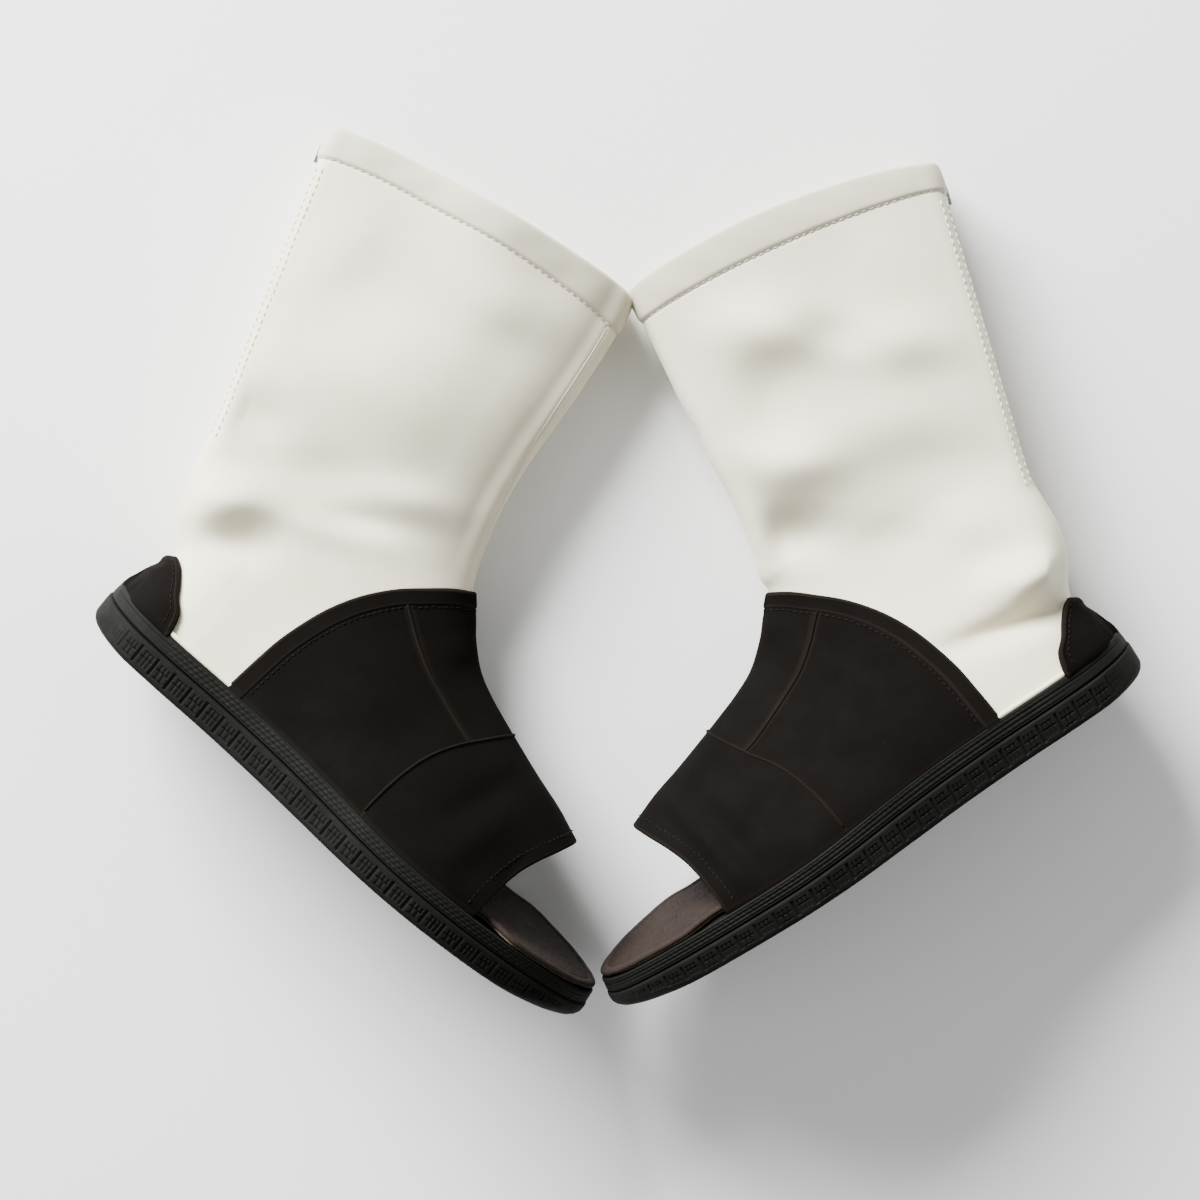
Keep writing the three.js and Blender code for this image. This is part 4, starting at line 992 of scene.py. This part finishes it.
def build_vamp(B):
    foot = f"{B.name}_foot"
    vamp_setup(B)
    g, BIND = 0.0012, 0.046
    spec = VAMP_FOLDS[B.name]

    def panel(name, s0, s1, n, t0, t1, m, thickness, proud, material, nodes, wav=1.0):
        P, SIG, T = vamp_grid(B, s0, s1, n, t0, t1, m)
        off = folds(B, P, spec) * wav * np.clip(SIG * 6, 0, 1) * smooth(0.0, 0.12, 1 - np.abs(SIG)) * smooth(BIND - 0.02, BIND + 0.06, T)
        # small crumpling along the free edge at the toes and a soft roll at every seam
        off = off + 0.35 * np.sin(P[..., 1] / 5.2 + P[..., 0] / 9.0) * smooth(0.86, 1.0, T) * wav
        # edge: weights of a painted highlight along the panel's borders
        edge = np.zeros(P.shape[:2])
        edge[:2], edge[-2:], edge[:, :1], edge[:, -1:] = 0.6, 0.6, 1, 1
        N = relax(-normals(P), 3)
        ob = shell(B, name, P, thickness, proud, material, N=N, offset=off, attrs={"edge": edge})
        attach(ob, foot)
        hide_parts(*[f"{B.name}_{x}" for x in nodes])
        return ob

    panel(f"{B.name}_side_panel_outer_knit", 1, seam1(B, 1, 0.003), 60, BIND + g, seam2(B, -g), 80, NEO, VAMP_PROUD, BLACK, ["side_panel_outer"])
    panel(f"{B.name}_side_panel_inner_knit", seam1(B, -1, 0.003), -1, 44, BIND + g, seam2(B, -g), 50, NEO, VAMP_PROUD, BLACK, ["side_panel_inner"])
    panel(f"{B.name}_instep_panel_knit", seam1(B, 1, -0.003), seam1(B, -1, -0.003), 64, BIND + g, seam2(B, -g), 72, NEO, VAMP_PROUD, BLACK, ["instep_panel"])
    panel(f"{B.name}_toe_band_knit", 1, -1, 130, seam2(B, g), 1, 64, NEO, VAMP_PROUD, BLACK, ["toe_band"])
    panel(f"{B.name}_vamp_binding_fold", 1, -1, 130, -0.004, BIND - g, 9, NEO + 0.7, VAMP_PROUD + 0.55, BLACK_EDGE, ["vamp_binding"], 0.0)

    def surf_path(SIG, T, lift):
        P = vamp_points(B, SIG, T)
        off = folds(B, P, spec) * np.clip(SIG * 6, 0, 1) * smooth(0.0, 0.12, 1 - np.abs(SIG)) * smooth(BIND - 0.02, BIND + 0.06, T)
        e = 0.004
        du = vamp_points(B, np.clip(SIG + e, -1, 1), T) - vamp_points(B, np.clip(SIG - e, -1, 1), T)
        dv = vamp_points(B, SIG, np.clip(T + e, 0, 1)) - vamp_points(B, SIG, np.clip(T - e, 0, 1))
        N = np.cross(du, dv)
        N /= np.linalg.norm(N, axis=-1)[..., None] + 1e-12
        ref = np.where(SIG[..., None] >= 0, np.array([0, 0.2, 1.0]), np.array([0, 0.2, -1.0]))
        ref = ref * np.abs(SIG[..., None]) + np.array([0.5, 1.0, 0]) * (1 - np.abs(SIG[..., None]))
        sgn = np.sign(np.sum(N * ref, -1))[..., None]
        N = N * sgn
        return P + N * (lift + off[..., None]), N

    pieces = []
    tt = np.linspace(BIND, 1, 160)
    for side, label in ((1, "outer"), (-1, "inner")):
        t = np.linspace(BIND + 0.004, float(np.mean(seam2(B)(np.array([0.47])))) - 0.004, 150)
        path, N = surf_path(seam1(B, side)(t), t, VAMP_PROUD + 0.10)
        pieces.append(tube(B, f"{B.name}_instep_piping_{label}", path, 0.72, PAINTED_HIGHLIGHT_PIPING, 10, N, 0.95))
    sg = np.linspace(0.985, -0.985, 300)
    path, N = surf_path(sg, seam2(B)(sg), VAMP_PROUD + 0.10)
    pieces.append(tube(B, f"{B.name}_toe_band_piping", path, 0.72, PAINTED_HIGHLIGHT_PIPING, 10, N, 0.95))
    path, N = surf_path(sg, np.full_like(sg, BIND + 0.0), VAMP_PROUD + 0.05)
    pieces.append(tube(B, f"{B.name}_binding_seam", path, 0.45, PAINTED_HIGHLIGHT_PIPING, 8, N, 0.9))
    path, N = surf_path(sg, np.full_like(sg, BIND + 0.014), VAMP_PROUD + 0.02)
    pieces.append(stitches(B, f"{B.name}_binding_stitches", path, N, BLACK_THREAD, 2.2, 0.9, 0.26))
    path, N = surf_path(sg, np.full_like(sg, 0.963), VAMP_PROUD + 0.02)
    pieces.append(stitches(B, f"{B.name}_toe_edge_stitches", path, N, BLACK_THREAD, 2.2, 0.9, 0.24))
    for ob in pieces:
        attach(ob, foot)


def build_counter(B):
    foot = f"{B.name}_foot"
    n, m = 110, 34
    K = np.linspace(-1, 1, n)[:, None] * np.ones((1, m))
    W = np.linspace(0, 1, m)[None, :] * np.ones((n, 1))
    ab = {}
    for side in (1, -1):
        rf, rb = B.rim(33, side)[0], B.rim(HEEL_RIM, side)[0]
        front = spline([rf, (30.5, rf[1] + 8), (25.5, 27), (21.5, 32.4), (17, 37.4), (13.2, 39.8)])
        bottom = even(B.rim(np.linspace(HEEL_RIM, 33, 24), side), 240)
        top = even([(9.3, 34.6), (10.8, 37.6), (13.2, 39.8)], 240)
        back = spline([rb, (8.9, 25), (9.5, 30), (9.3, 34.6)])
        ab[side] = coons(bottom, top, back, front, 1 - np.cos(np.abs(K) * math.pi / 2), W)
    P2 = np.where((K >= 0)[..., None], ab[1], ab[-1])
    h = B.height(P2[..., 0], P2[..., 1], np.where(K >= 0, 1.0, -1.0), 0)
    P = np.concatenate([P2, h[..., None]], -1)
    down = np.array([0, -cT, -sT])
    P = np.concatenate([P[:, :1] + down * 1.5, P], 1)
    sink = np.maximum(smooth(0.45, 1.0, np.abs(K)), 0.7 * smooth(0.55, 1.0, W))
    sink = np.concatenate([sink[:, :1], sink], 1)
    off = 0.35 * np.sin(P[..., 2] / 6.0 + 0.6) * smooth(0.3, 1.0, np.r_[0, np.linspace(0, 1, m)])[None, :]
    off = off + 0.5 * np.sin(P[..., 1] / 3.6 + P[..., 2] / 17.0) * smooth(0.2, 0.9, np.abs(np.concatenate([K[:, :1], K], 1)) < 0.4)
    off = np.clip(off, -0.35, 0.8) - 3.0 * sink
    # edge: weights of a painted highlight along the counter's folded sides and top edge
    edge = np.zeros(P.shape[:2])
    edge[:2], edge[-2:], edge[:, -2:] = 1, 1, 1
    ob = shell(B, f"{B.name}_heel_counter_padded", P, 2.8, NEO + 3.3, BLACK, N=relax(normals(P), 4), offset=off, attrs={"edge": edge})
    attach(ob, foot)
    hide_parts(f"{B.name}_heel_counter")
    # a folded, stitched front edge
    N = relax(normals(P), 4)
    pieces = []
    for i, lab in ((-1, "outer"), (0, "inner")):
        k = i - 5 if i < 0 else 5
        path = P[k] + N[k] * (NEO + 3.3 + off[k][:, None] + 0.02)
        pieces.append(stitches(B, f"{B.name}_counter_stitches_{lab}", path[2:-1], N[k][2:-1], BLACK_THREAD, 2.1, 0.9, 0.26))
        k = i - 1 if i < 0 else 1
        path = P[k] + N[k] * (NEO + 3.3 + off[k][:, None] - 0.25)
        pieces.append(tube(B, f"{B.name}_counter_fold_{lab}", path[1:], 0.75, PAINTED_HIGHLIGHT_PIPING, 8, N[k][1:], 0.9))
    for p in pieces:
        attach(p, foot)


# ------------------------------------------------------------------ the white shafts
def turn(e, p):
    return 1 - (1 - np.clip(e, 0, 1) ** p) ** (1 / p)


def hem_curves(B):
    """The cut lines of the shaft: its hem's lower line and its top, from the back fold to the front fold."""
    s = B.s
    back, front = B.back, B.front
    i0 = int(np.argmin(np.abs(back[:, 1] - (s["hem_line"][0][1] - 4.2))))
    j0 = int(np.argmin(np.abs(front[:, 1] - (s["hem_line"][5][1] - 0.4))))
    i1 = int(np.argmin(np.abs(back[:, 1] - (s["hem_top"][0][1] - 3.4))))
    j1 = int(np.argmin(np.abs(front[:, 1] - (s["hem_top"][5][1] - 1.6))))
    low_line = spline([tuple(back[i0])] + list(s["hem_line"]) + [tuple(front[j0])])
    top_line = spline([tuple(back[i1])] + list(s["hem_top"]) + [tuple(front[j1])])
    return low_line, top_line, tuple(back[i0]), tuple(front[j0]), tuple(back[i1]), tuple(front[j1])



class Tube:
    """The white tube of one boot between a lower and an upper line, as lambda (1 at the zip on the outer side,
    0 at the front fold, -1 at the zip on the inner side) and v from 0 to 1."""

    def __init__(self, B, curves, rows=160, samples=900, gap=None):
        # curves[side] = (bottom, top, back edge, front edge)
        self.B = B
        self.curves = curves
        self.v = np.linspace(0, 1, rows)
        self.tab = {}
        j = np.linspace(0, 1, samples)
        clus = j ** 3.5 / (j ** 3.5 + (1 - j) ** 3.5)
        for side in (1, -1):
            bottom, top, left, right = curves[side]
            V = self.v[None, :] * np.ones((samples, 1))
            U = clus[:, None] * np.ones((1, rows))
            ab = coons(bottom, top, left, right, U, V)
            step = np.linalg.norm(np.diff(ab, axis=0), axis=2)
            d = np.vstack([np.zeros((1, rows)), np.cumsum(step, 0)])
            W = d[-1]
            eF, eB = along(right, self.v), along(left, self.v)
            # angle between the row and the fold lines
            tF = along(right, np.clip(self.v + 0.01, 0, 1)) - along(right, np.clip(self.v - 0.01, 0, 1))
            tB = along(left, np.clip(self.v + 0.01, 0, 1)) - along(left, np.clip(self.v - 0.01, 0, 1))
            rF = ab[-1] - ab[-60]
            rB = ab[60] - ab[0]
            sF = np.abs(tF[:, 0] * rF[:, 1] - tF[:, 1] * rF[:, 0]) / (np.linalg.norm(tF, axis=1) * np.linalg.norm(rF, axis=1) + 1e-12)
            sB = np.abs(tB[:, 0] * rB[:, 1] - tB[:, 1] * rB[:, 0]) / (np.linalg.norm(tB, axis=1) * np.linalg.norm(rB, axis=1) + 1e-12)
            sF, sB = np.clip(sF, 0.3, 1), np.clip(sB, 0.3, 1)
            a, b = ab[..., 0], ab[..., 1]
            rf, pf = lerp(86, 31, smooth(92, 150, b)), lerp(2.0, 2.3, smooth(90, 150, b))
            rb, pb = lerp(36, 23, smooth(40, 100, b)), lerp(2.0, 4.0, smooth(45, 100, b))
            dF0, dB0 = (W - d) * sF, d * sB
            dF1, dB1 = distance(B.front, a, b), distance(B.back, a, b)
            dF = lerp(dF0, dF1, smooth(0.6, 5, dF0))
            dB = lerp(dB0, dB1, smooth(1.5, 8, dB0))
            ef = (1 - (1 - np.clip(dF / rf, 0, 1)) ** pf) ** (1 / pf)
            eb = (1 - (1 - np.clip(dB / rb, 0, 1)) ** pb) ** (1 / pb)
            x = np.clip(a, 40, 216)
            rim = (np.interp(x, _xs, HI) - 3.5) * cT + thick(x) * sT
            outer = lerp(rim, lerp(44, 39, smooth(110, 250, b)), smooth(6, 112, b))
            inner = lerp(6.2, 0.6, smooth(14, 48, b))
            half, mid = (outer - inner) / 2, (outer + inner) / 2
            y = ef * eb
            h = mid + side * half * y
            if side > 0:
                cf, wf, cb, wb = B.s["crown"]
                h = h + B.bump(a, b) * smooth(2, 16, dF) * smooth(2, 14, dB)
                h = h - cf * np.clip(1 - dF / wf, 0, 1) ** 2 * smooth(0, 12, dF) * smooth(104, 150, b)
                sw, sp, sr = B.s["swell"]
                h = h + sw * np.exp(-((dF - sp) / sr) ** 2) * smooth(112, 160, b) * smooth(4, 20, dB)
                h = h - cb * np.clip(1 - dB / wb, 0, 1) ** 2 * smooth(0, 14, dB) * smooth(96, 130, b)
            G = np.stack([a, b, h], -1)
            # the back edges stop short of each other by the zip's gap
            g = lerp(0.45, ZIP_GAP + 0.9 * smooth(128, 112, eB[:, 1]), smooth(76, 87, eB[:, 1])) if gap is None else gap + 0 * eB[:, 1]
            S = np.vstack([np.zeros((1, rows)), np.cumsum(np.linalg.norm(np.diff(G, axis=0), axis=2), 0)])
            out = np.empty((samples, rows, 3))
            for c in range(rows):
                over = np.abs(G[:, c, 2] - mid[:, c])
                k = int(np.argmax(over > g[c]))
                f = (g[c] - over[k - 1]) / (over[k] - over[k - 1] + 1e-12) if k > 0 else 0.0
                s0 = S[k - 1, c] + f * (S[k, c] - S[k - 1, c]) if k > 0 else 0.0
                s = np.linspace(S[-1, c], s0, samples)
                for q in range(3):
                    out[:, c, q] = np.interp(s, S[:, c], G[:, c, q])
            self.tab[side] = out
        # the two sides meet in one line at the front fold
        m = (self.tab[1][0] + self.tab[-1][0]) / 2
        for side in (1, -1):
            d = m - self.tab[side][0]
            w = np.exp(-np.linspace(0, 1, samples) * 30)[:, None, None]
            self.tab[side] = self.tab[side] + d[None] * w
        self.samples, self.rows = samples, rows

    def __call__(self, LAM, V):
        LAM, V = np.broadcast_arrays(np.asarray(LAM, float), np.asarray(V, float))
        i = np.clip(np.abs(LAM), 0, 1) * (self.samples - 1)
        j = np.clip(V, 0, 1) * (self.rows - 1)
        i0, j0 = np.minimum(i.astype(int), self.samples - 2), np.minimum(j.astype(int), self.rows - 2)
        fi, fj = (i - i0)[..., None], (j - j0)[..., None]
        out = np.empty(LAM.shape + (3,))
        for side in (1, -1):
            k = (LAM >= 0) if side > 0 else (LAM < 0)
            T = self.tab[side]
            p = ((1 - fi) * (1 - fj) * T[i0, j0] + fi * (1 - fj) * T[i0 + 1, j0] + (1 - fi) * fj * T[i0, j0 + 1] + fi * fj * T[i0 + 1, j0 + 1])
            out[k] = p[k]
        return out

    def normal(self, LAM, V, e=0.006):
        du = self(np.clip(LAM + e, -1, 1), V) - self(np.clip(LAM - e, -1, 1), V)
        dv = self(LAM, np.clip(V + e, 0, 1)) - self(LAM, np.clip(V - e, 0, 1))
        N = np.cross(-du, dv)
        N = N / (np.linalg.norm(N, axis=-1)[..., None] + 1e-12)
        P = self(LAM, V)
        C = (self(0.5 + 0 * LAM, V) + self(-0.5 + 0 * LAM, V)) / 2
        ref = (P - C) * np.array([0.15, 0.15, 1.0])
        return N * np.where(np.sum(N * ref, -1) < 0, -1.0, 1.0)[..., None]


def white_curves(B):
    low_line, top_line, hb0, hf0, hb1, hf1 = hem_curves(B)
    body, hem = {}, {}
    for side in (1, -1):
        r0 = B.rim(74, side)[0]
        # the cloth goes on under the black upper by about 9 mm
        under = [(p[0] + lerp(4.2, 8.0, smooth(30, 80, p[1])), p[1] - 2.0) for p in VAMP_TOP if p[1] > r0[1] + 5]
        line = np.vstack([B.rim(np.linspace(HEEL_RIM, 74, 40), side)[:-1], spline([tuple(r0)] + under + [(127.5, 107.6)])])
        bottom = even(line, 400)
        back = between(B.back, B.rim(HEEL_RIM, side)[0], hb0)
        front = between(B.front, (127.5, 107.6), hf0)
        body[side] = (bottom, even(low_line, 400), back, front)
        hem[side] = (even(low_line, 400), even(top_line, 400), between(B.back, hb0, hb1), between(B.front, hf0, hf1))
    return body, hem


def front_seam_lambda(B, V, P0):
    """Offsets of the front seam for each row, read from the spec's seam_off at the row's height b."""
    pts = B.s["seam_off"]
    b = P0[:, 1]
    d = np.interp(b, [p[0] for p in pts], [p[1] for p in pts])
    return d


def build_white(B):
    foot, shaft = f"{B.name}_foot", f"{B.name}_shaft"
    body, hem = white_curves(B)
    T = Tube(B, body, 200)
    B.tube = T
    sgn = 1.0 if B.name == "right" else -1.0
    # seam: distance inside the front fold, in mm, by height b
    v = np.linspace(0, 1, 200)
    fold = T(0 * v, v)
    offs = np.interp(fold[:, 1], [100, 122, 140, 158, 184, 206, 226, 246], [0.15, 0.3, 0.8, 1.2, 3.2, 4.6, 4.8, 5.2])
    lam_seam = np.empty_like(v)
    for i, vv in enumerate(v):
        L = np.linspace(0, 0.5, 300) * sgn
        p = T(L, np.full_like(L, vv))
        dist = np.linalg.norm(p[:, :2] - p[0, :2], axis=1)
        lam_seam[i] = np.interp(offs[i], np.maximum.accumulate(dist), L * sgn) * sgn
    lam_seam = np.convolve(np.pad(lam_seam, 8, mode="edge"), np.ones(17) / 17, "valid")
    seam = lambda V: np.interp(V, v, lam_seam)
    B.seam_at = seam
    n, m = (190, 230)
    start, end = B.at(60, 72.6), B.at(28.2, 123.5)
    # each side of the shaft, as a sheet over the tube
    for side, label in ((1, "outer"), (-1, "inner")):
        nn = n if (side > 0) else 130
        V = np.linspace(0.0, 1.0, m)[None, :] * np.ones((nn, 1))
        I = np.linspace(0, 1, nn)[:, None] * np.ones((1, m))
        # points crowd towards the seam and the zip edge, so their roll is smooth
        I = I + 0.06 * np.sin(2 * math.pi * I) / (2 * math.pi) * -1
        s0 = seam(V) + side * 0.0016
        LAM = lerp(side * 1.0, s0, I)
        P = T(LAM, V)
        N = T.normal(LAM, V)
        N = relax(N, 2)
        a, b = P[..., 0], P[..., 1]
        # under the black upper the sheet is pressed inwards
        edge_line = VAMP_TOP + [(123, 112), (126, 113.2)]
        dv = distance(spline([(71, -6), (71, 12)] + edge_line), a, b)
        inside = ((a - np.interp(b, [p[1] for p in edge_line], [p[0] for p in edge_line])) > 0) & (b < 112.8)
        dv = dv * np.where(inside, 1, -1)
        press = -2.3 * smooth(-1.2, 1.6, dv)
        # the panel's edges sink a little into the seams
        ds = np.linalg.norm(P - T(s0, V), axis=-1)
        dz = np.linalg.norm(P - T(side * np.ones_like(V), V), axis=-1)
        groove = -0.26 * np.exp(-(ds / 1.1) ** 2)
        wav = 0.20 * np.sin(a / 17.0 + 2.1 * np.sin(b / 33.0)) * np.sin(b / 21.0 + a / 60.0) * smooth(4, 20, ds) * smooth(4, 20, dz)
        zipline = np.where(b > 92, 1.0, 0.0)
        row = -0.32 * np.exp(-((dz - 6.2) / 0.7) ** 2) * smooth(88, 98, b)
        off = press + groove + wav + row
        # edge: weights of painted shade in the seam groove, at the zip edge and in the tape row's groove
        edge = np.clip(np.exp(-(ds / 0.9) ** 2) + np.exp(-(dz / 1.0) ** 2) + 0.6 * np.exp(-((dz - 6.2) / 0.5) ** 2) * smooth(88, 98, b), 0, 1)
        ob = shell(B, f"{B.name}_shaft_{label}_cloth", P, NEO, 0.0, WHITE, N=N, offset=off, attrs={"edge": edge})
        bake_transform(ob)
        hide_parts(f"{B.name}_ankle_panel_{label}", f"{B.name}_shaft_panel_{label}")
        # stitches beside the zip
        vz = np.linspace(0.0, 0.985, 700)
        L = np.full_like(vz, side * 1.0)
        p0 = T(L, vz)
        keep = p0[:, 1] > 90
        vz = vz[keep]
        for off_mm, tag in ((1.9, "edge"), (6.2, "tape")):
            lam = np.empty_like(vz)
            for i, vv in enumerate(vz):
                LL = np.linspace(1, 0.80, 120) * side
                p = T(LL, np.full_like(LL, vv))
                s = np.r_[0, np.cumsum(np.linalg.norm(np.diff(p, axis=0), axis=1))]
                lam[i] = np.interp(off_mm, s, LL)
            path = T(lam, vz)
            Nn = T.normal(lam, vz)
            st = stitches(B, f"{B.name}_zip_stitches_{tag}_{label}", path + Nn * (-0.22 if tag == "tape" else 0.0), Nn, WHITE_THREAD, 2.6, 0.9, 0.30, 0.06)
            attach(st, shaft)
    dist_rows = ((1.9, "a"), (4.7, "b"))
    vz = np.linspace(0.30, 0.985, 420)
    for dd, tag in dist_rows:
        lam = np.empty_like(vz)
        for i, vv in enumerate(vz):
            LL = np.linspace(1.0, 0.6, 260)
            p = T(LL, np.full_like(LL, vv))
            q = np.maximum.accumulate(np.linalg.norm(p[:, :2] - p[0, :2], axis=1))
            lam[i] = np.interp(dd, q, LL)
        path, Nn = T(lam, vz), T.normal(lam, vz)
        keep = path[:, 1] > 92
        st = stitches(B, f"{B.name}_zip_seam_stitches_{tag}", path[keep], Nn[keep], WHITE_THREAD, 2.5, 1.1, 0.36, 0.10)
        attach(st, shaft)
    # the flat-felled seam down the front: a raised cover thread
    for off_lam, tag in ((0, "join"),):
        vz = np.linspace(0.07, 0.995, 420)
        lam = seam(vz)
        path, Nn = T(lam, vz), T.normal(lam, vz)
        ob = tube(B, f"{B.name}_front_seam_cord", path - Nn * 0.42, 0.45, WHITE, 8, Nn, 0.8)
        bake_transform(ob)
    # hem band
    H = Tube(B, hem, 40, gap=ZIP_GAP + 0.6)
    B.hem = H
    n, m = 300, 26
    LAM = np.linspace(1, -1, n)[:, None] * np.ones((1, m))
    V = np.linspace(0.02, 0.985, m)[None, :] * np.ones((n, 1))
    P = H(LAM, V)
    N = relax(H.normal(LAM, V), 2)
    W = np.linspace(0, 1, m)[None, :] * np.ones((n, 1))
    puff = 0.45 * np.sin(math.pi * W) ** 0.7 + 0.16 * np.sin(LAM * 46 + 2 * W) * np.sin(math.pi * W)
    puff = puff - 1.35 * np.exp(-(W / 0.085) ** 2)
    # edge: weights of painted shade along the hem's stitch groove
    edge = np.exp(-((W - 0.05) / 0.05) ** 2) * 0.8
    ob = shell(B, f"{B.name}_top_hem_folded", P, 4.6, 0.85, HEM, steps=10, bulge=0.42, N=N, offset=puff, attrs={"edge": edge})
    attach(ob, shaft)
    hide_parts(f"{B.name}_top_hem")
    lam = np.linspace(0.985, -0.985, 900)
    for vv, tag in ((0.066, "low"),):
        path, Nn = H(lam, np.full_like(lam, vv)), H.normal(lam, np.full_like(lam, vv))
        st = stitches(B, f"{B.name}_hem_stitches_{tag}", path + Nn * -0.12, Nn, WHITE_THREAD, 2.7, 0.9, 0.34, 0.05)
        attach(st, shaft)
    # the lip of the white cloth along the sole, between the heel counter and the upper
    r = B.rim(np.linspace(30, 70, 80), 1)
    h = B.height(r[:, 0], r[:, 1], 1, 0)
    path = np.concatenate([r, h[:, None]], 1) + np.array([0, 0.3, 0.9])
    ob = tube(B, f"{B.name}_lower_lip", path, 1.15, WHITE, 12, np.tile([0, 0.2, 1.0], (len(path), 1)))
    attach(ob, foot)


# ------------------------------------------------------------------ the zip
def build_zip(B):
    shaft = f"{B.name}_shaft"
    zb, zt = np.array(B.s["zip"][0], float), np.array(B.s["zip"][1], float)
    length = float(np.linalg.norm(zt - zb))
    dA, dB = (zt - zb) / length
    mid = lambda p: float(np.mean([B.height(np.array([p[0] + 30]), np.array([p[1]]), s)[0] for s in (1, -1)]))
    mt, mb = mid(zt), mid(zb)
    up = np.array([dA * length, dB * length, mt - mb])
    up /= np.linalg.norm(up)
    out = np.array([-dB, dA, 0.0])
    across = np.cross(out, up)
    across /= np.linalg.norm(across)
    o = np.array([zb[0], zb[1], mb])
    put = lambda P: o + P[..., 0:1] * out + P[..., 1:2] * up + P[..., 2:3] * across
    L = length - 1.5
    for lab, s in (("outer", -1), ("inner", 1)):
        n, m = 160, 14
        Y = np.linspace(-15, L, n)[:, None] * np.ones((1, m))
        Z = np.linspace(0.7, 8.3, m)[None, :] * np.ones((n, 1)) * s
        X = -5.0 + 0.05 * np.sin(Y / 2.1) + 0 * Z
        P = put(np.stack([X, Y, Z], -1))
        N = np.tile(out, (n, m, 1))
        ob = shell(B, f"{B.name}_zip_tape_{lab}_woven", P, 0.6, 0.3, TAPE, 4, N=N)
        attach(ob, shaft)
        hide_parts(f"{B.name}_zip_tape_{lab}")
        # moulded teeth, each a rounded block with a nose
        V, F = [], []
        pitch = 1.25
        count = int((L - 4) / pitch)
        prof = [(0.15, 0.28), (0.35, 0.5), (1.3, 0.5), (2.2, 0.36), (2.75, 0.46), (2.95, 0.34)]
        for c in range(count):
            y = 2.0 + c * pitch + (0 if s > 0 else pitch / 2)
            b0 = sum(len(q) for q in V)
            ring = []
            for z, hw in prof:
                zz = (0.45 - 0.35 + z * 0.75) - 0.35
                for (xx, yy) in ((-4.55, -hw), (-4.4, -hw - 0.02), (-3.35, -hw), (-3.05, -hw * 0.6), (-3.05, hw * 0.6), (-3.35, hw), (-4.4, hw + 0.02), (-4.55, hw)):
                    ring.append((xx, y + yy, -s * 0.28 + s * zz))
            V.append(put(np.array(ring)))
            idx = b0 + np.arange(len(prof) * 8).reshape(len(prof), 8)
            for i in range(len(prof) - 1):
                for j in range(8):
                    F.append((idx[i, j], idx[i, (j + 1) % 8], idx[i + 1, (j + 1) % 8], idx[i + 1, j]))
            F.append(tuple(idx[0, ::-1]))
            F.append(tuple(idx[-1]))
        ob = orient(new_object(f"{B.name}_zip_teeth_{lab}_row", B.world(np.vstack(V)), F, TEETH, shade=False))
        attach(ob, shaft)
        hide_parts(f"{B.name}_zip_teeth_{lab}")


def finish_nodes(B):
    for node in ("zip_slider", "zip_pull", "zip_top_stop_outer", "zip_top_stop_inner", "zip_bottom_stop"):
        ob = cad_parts[f"{B.name}_{node}"]
        ob.data.materials.clear()
        ob.data.materials.append(METAL)
        mod = ob.modifiers.new("rounded", "BEVEL")
        mod.width = 0.00022
        mod.segments = 2
        mod.limit_method = "ANGLE"
    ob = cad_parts[f"{B.name}_front_seam_tape"]
    ob.data.materials.clear()
    ob.data.materials.append(SEAM_TAPE)


PAIR = [Boot(name, spec) for name, spec in BOOTS.items()]
for B in PAIR:
    build_sole(B)
    build_vamp(B)
    build_counter(B)
    build_white(B)
    build_zip(B)
    finish_nodes(B)

# ------------------------------------------------------------------ floor, light and camera
floor_mat = Graph("pale_floor")
floor_mat.color(floor_mat.ramp(floor_mat.noise(3.0, 2), [(0.3, (0.90, 0.90, 0.895)), (0.7, (0.92, 0.92, 0.915))]))
floor_mat.set(Roughness=0.85)
bpy.ops.mesh.primitive_plane_add(size=8, location=(0, 0, -0.0011))
floor = bpy.context.object
floor.name = "studio_floor"
floor.data.materials.append(floor_mat.m)


def area(name, place, target, size, power, color=(1, 1, 1)):
    data = bpy.data.lights.new(name, "AREA")
    data.shape = "RECTANGLE"
    data.size, data.size_y = size
    data.energy = power
    data.color = color
    ob = bpy.data.objects.new(name, data)
    bpy.context.scene.collection.objects.link(ob)
    ob.location = place
    ob.rotation_euler = (Vector(target) - Vector(place)).to_track_quat("-Z", "Y").to_euler()
    return ob


area("key", (-1.40, 1.95, 1.22), (0, 0, 0), (1.7, 1.2), 430)
area("fill", (-1.4, -0.4, 1.3), (0, 0, 0), (1.2, 1.2), 7)
area("fill_right", (1.4, 0.1, 1.3), (0, 0, 0), (1.0, 1.0), 7)

world = bpy.data.worlds.new("studio_air")
bpy.context.scene.world = world
world.use_nodes = True
world.node_tree.nodes["Background"].inputs[0].default_value = (1, 1, 1, 1)
world.node_tree.nodes["Background"].inputs[1].default_value = 0.36

cam_data = bpy.data.cameras.new("view")
cam_data.lens = 103.67
cam_data.sensor_width = 36
cam_data.clip_end = 20
cam_data.dof.use_dof = False
cam = bpy.data.objects.new("view", cam_data)
bpy.context.scene.collection.objects.link(cam)
cam.location = (-0.00834, -0.01353, 1.6006)
cam.rotation_euler = (0, 0, 0)
bpy.context.scene.camera = cam
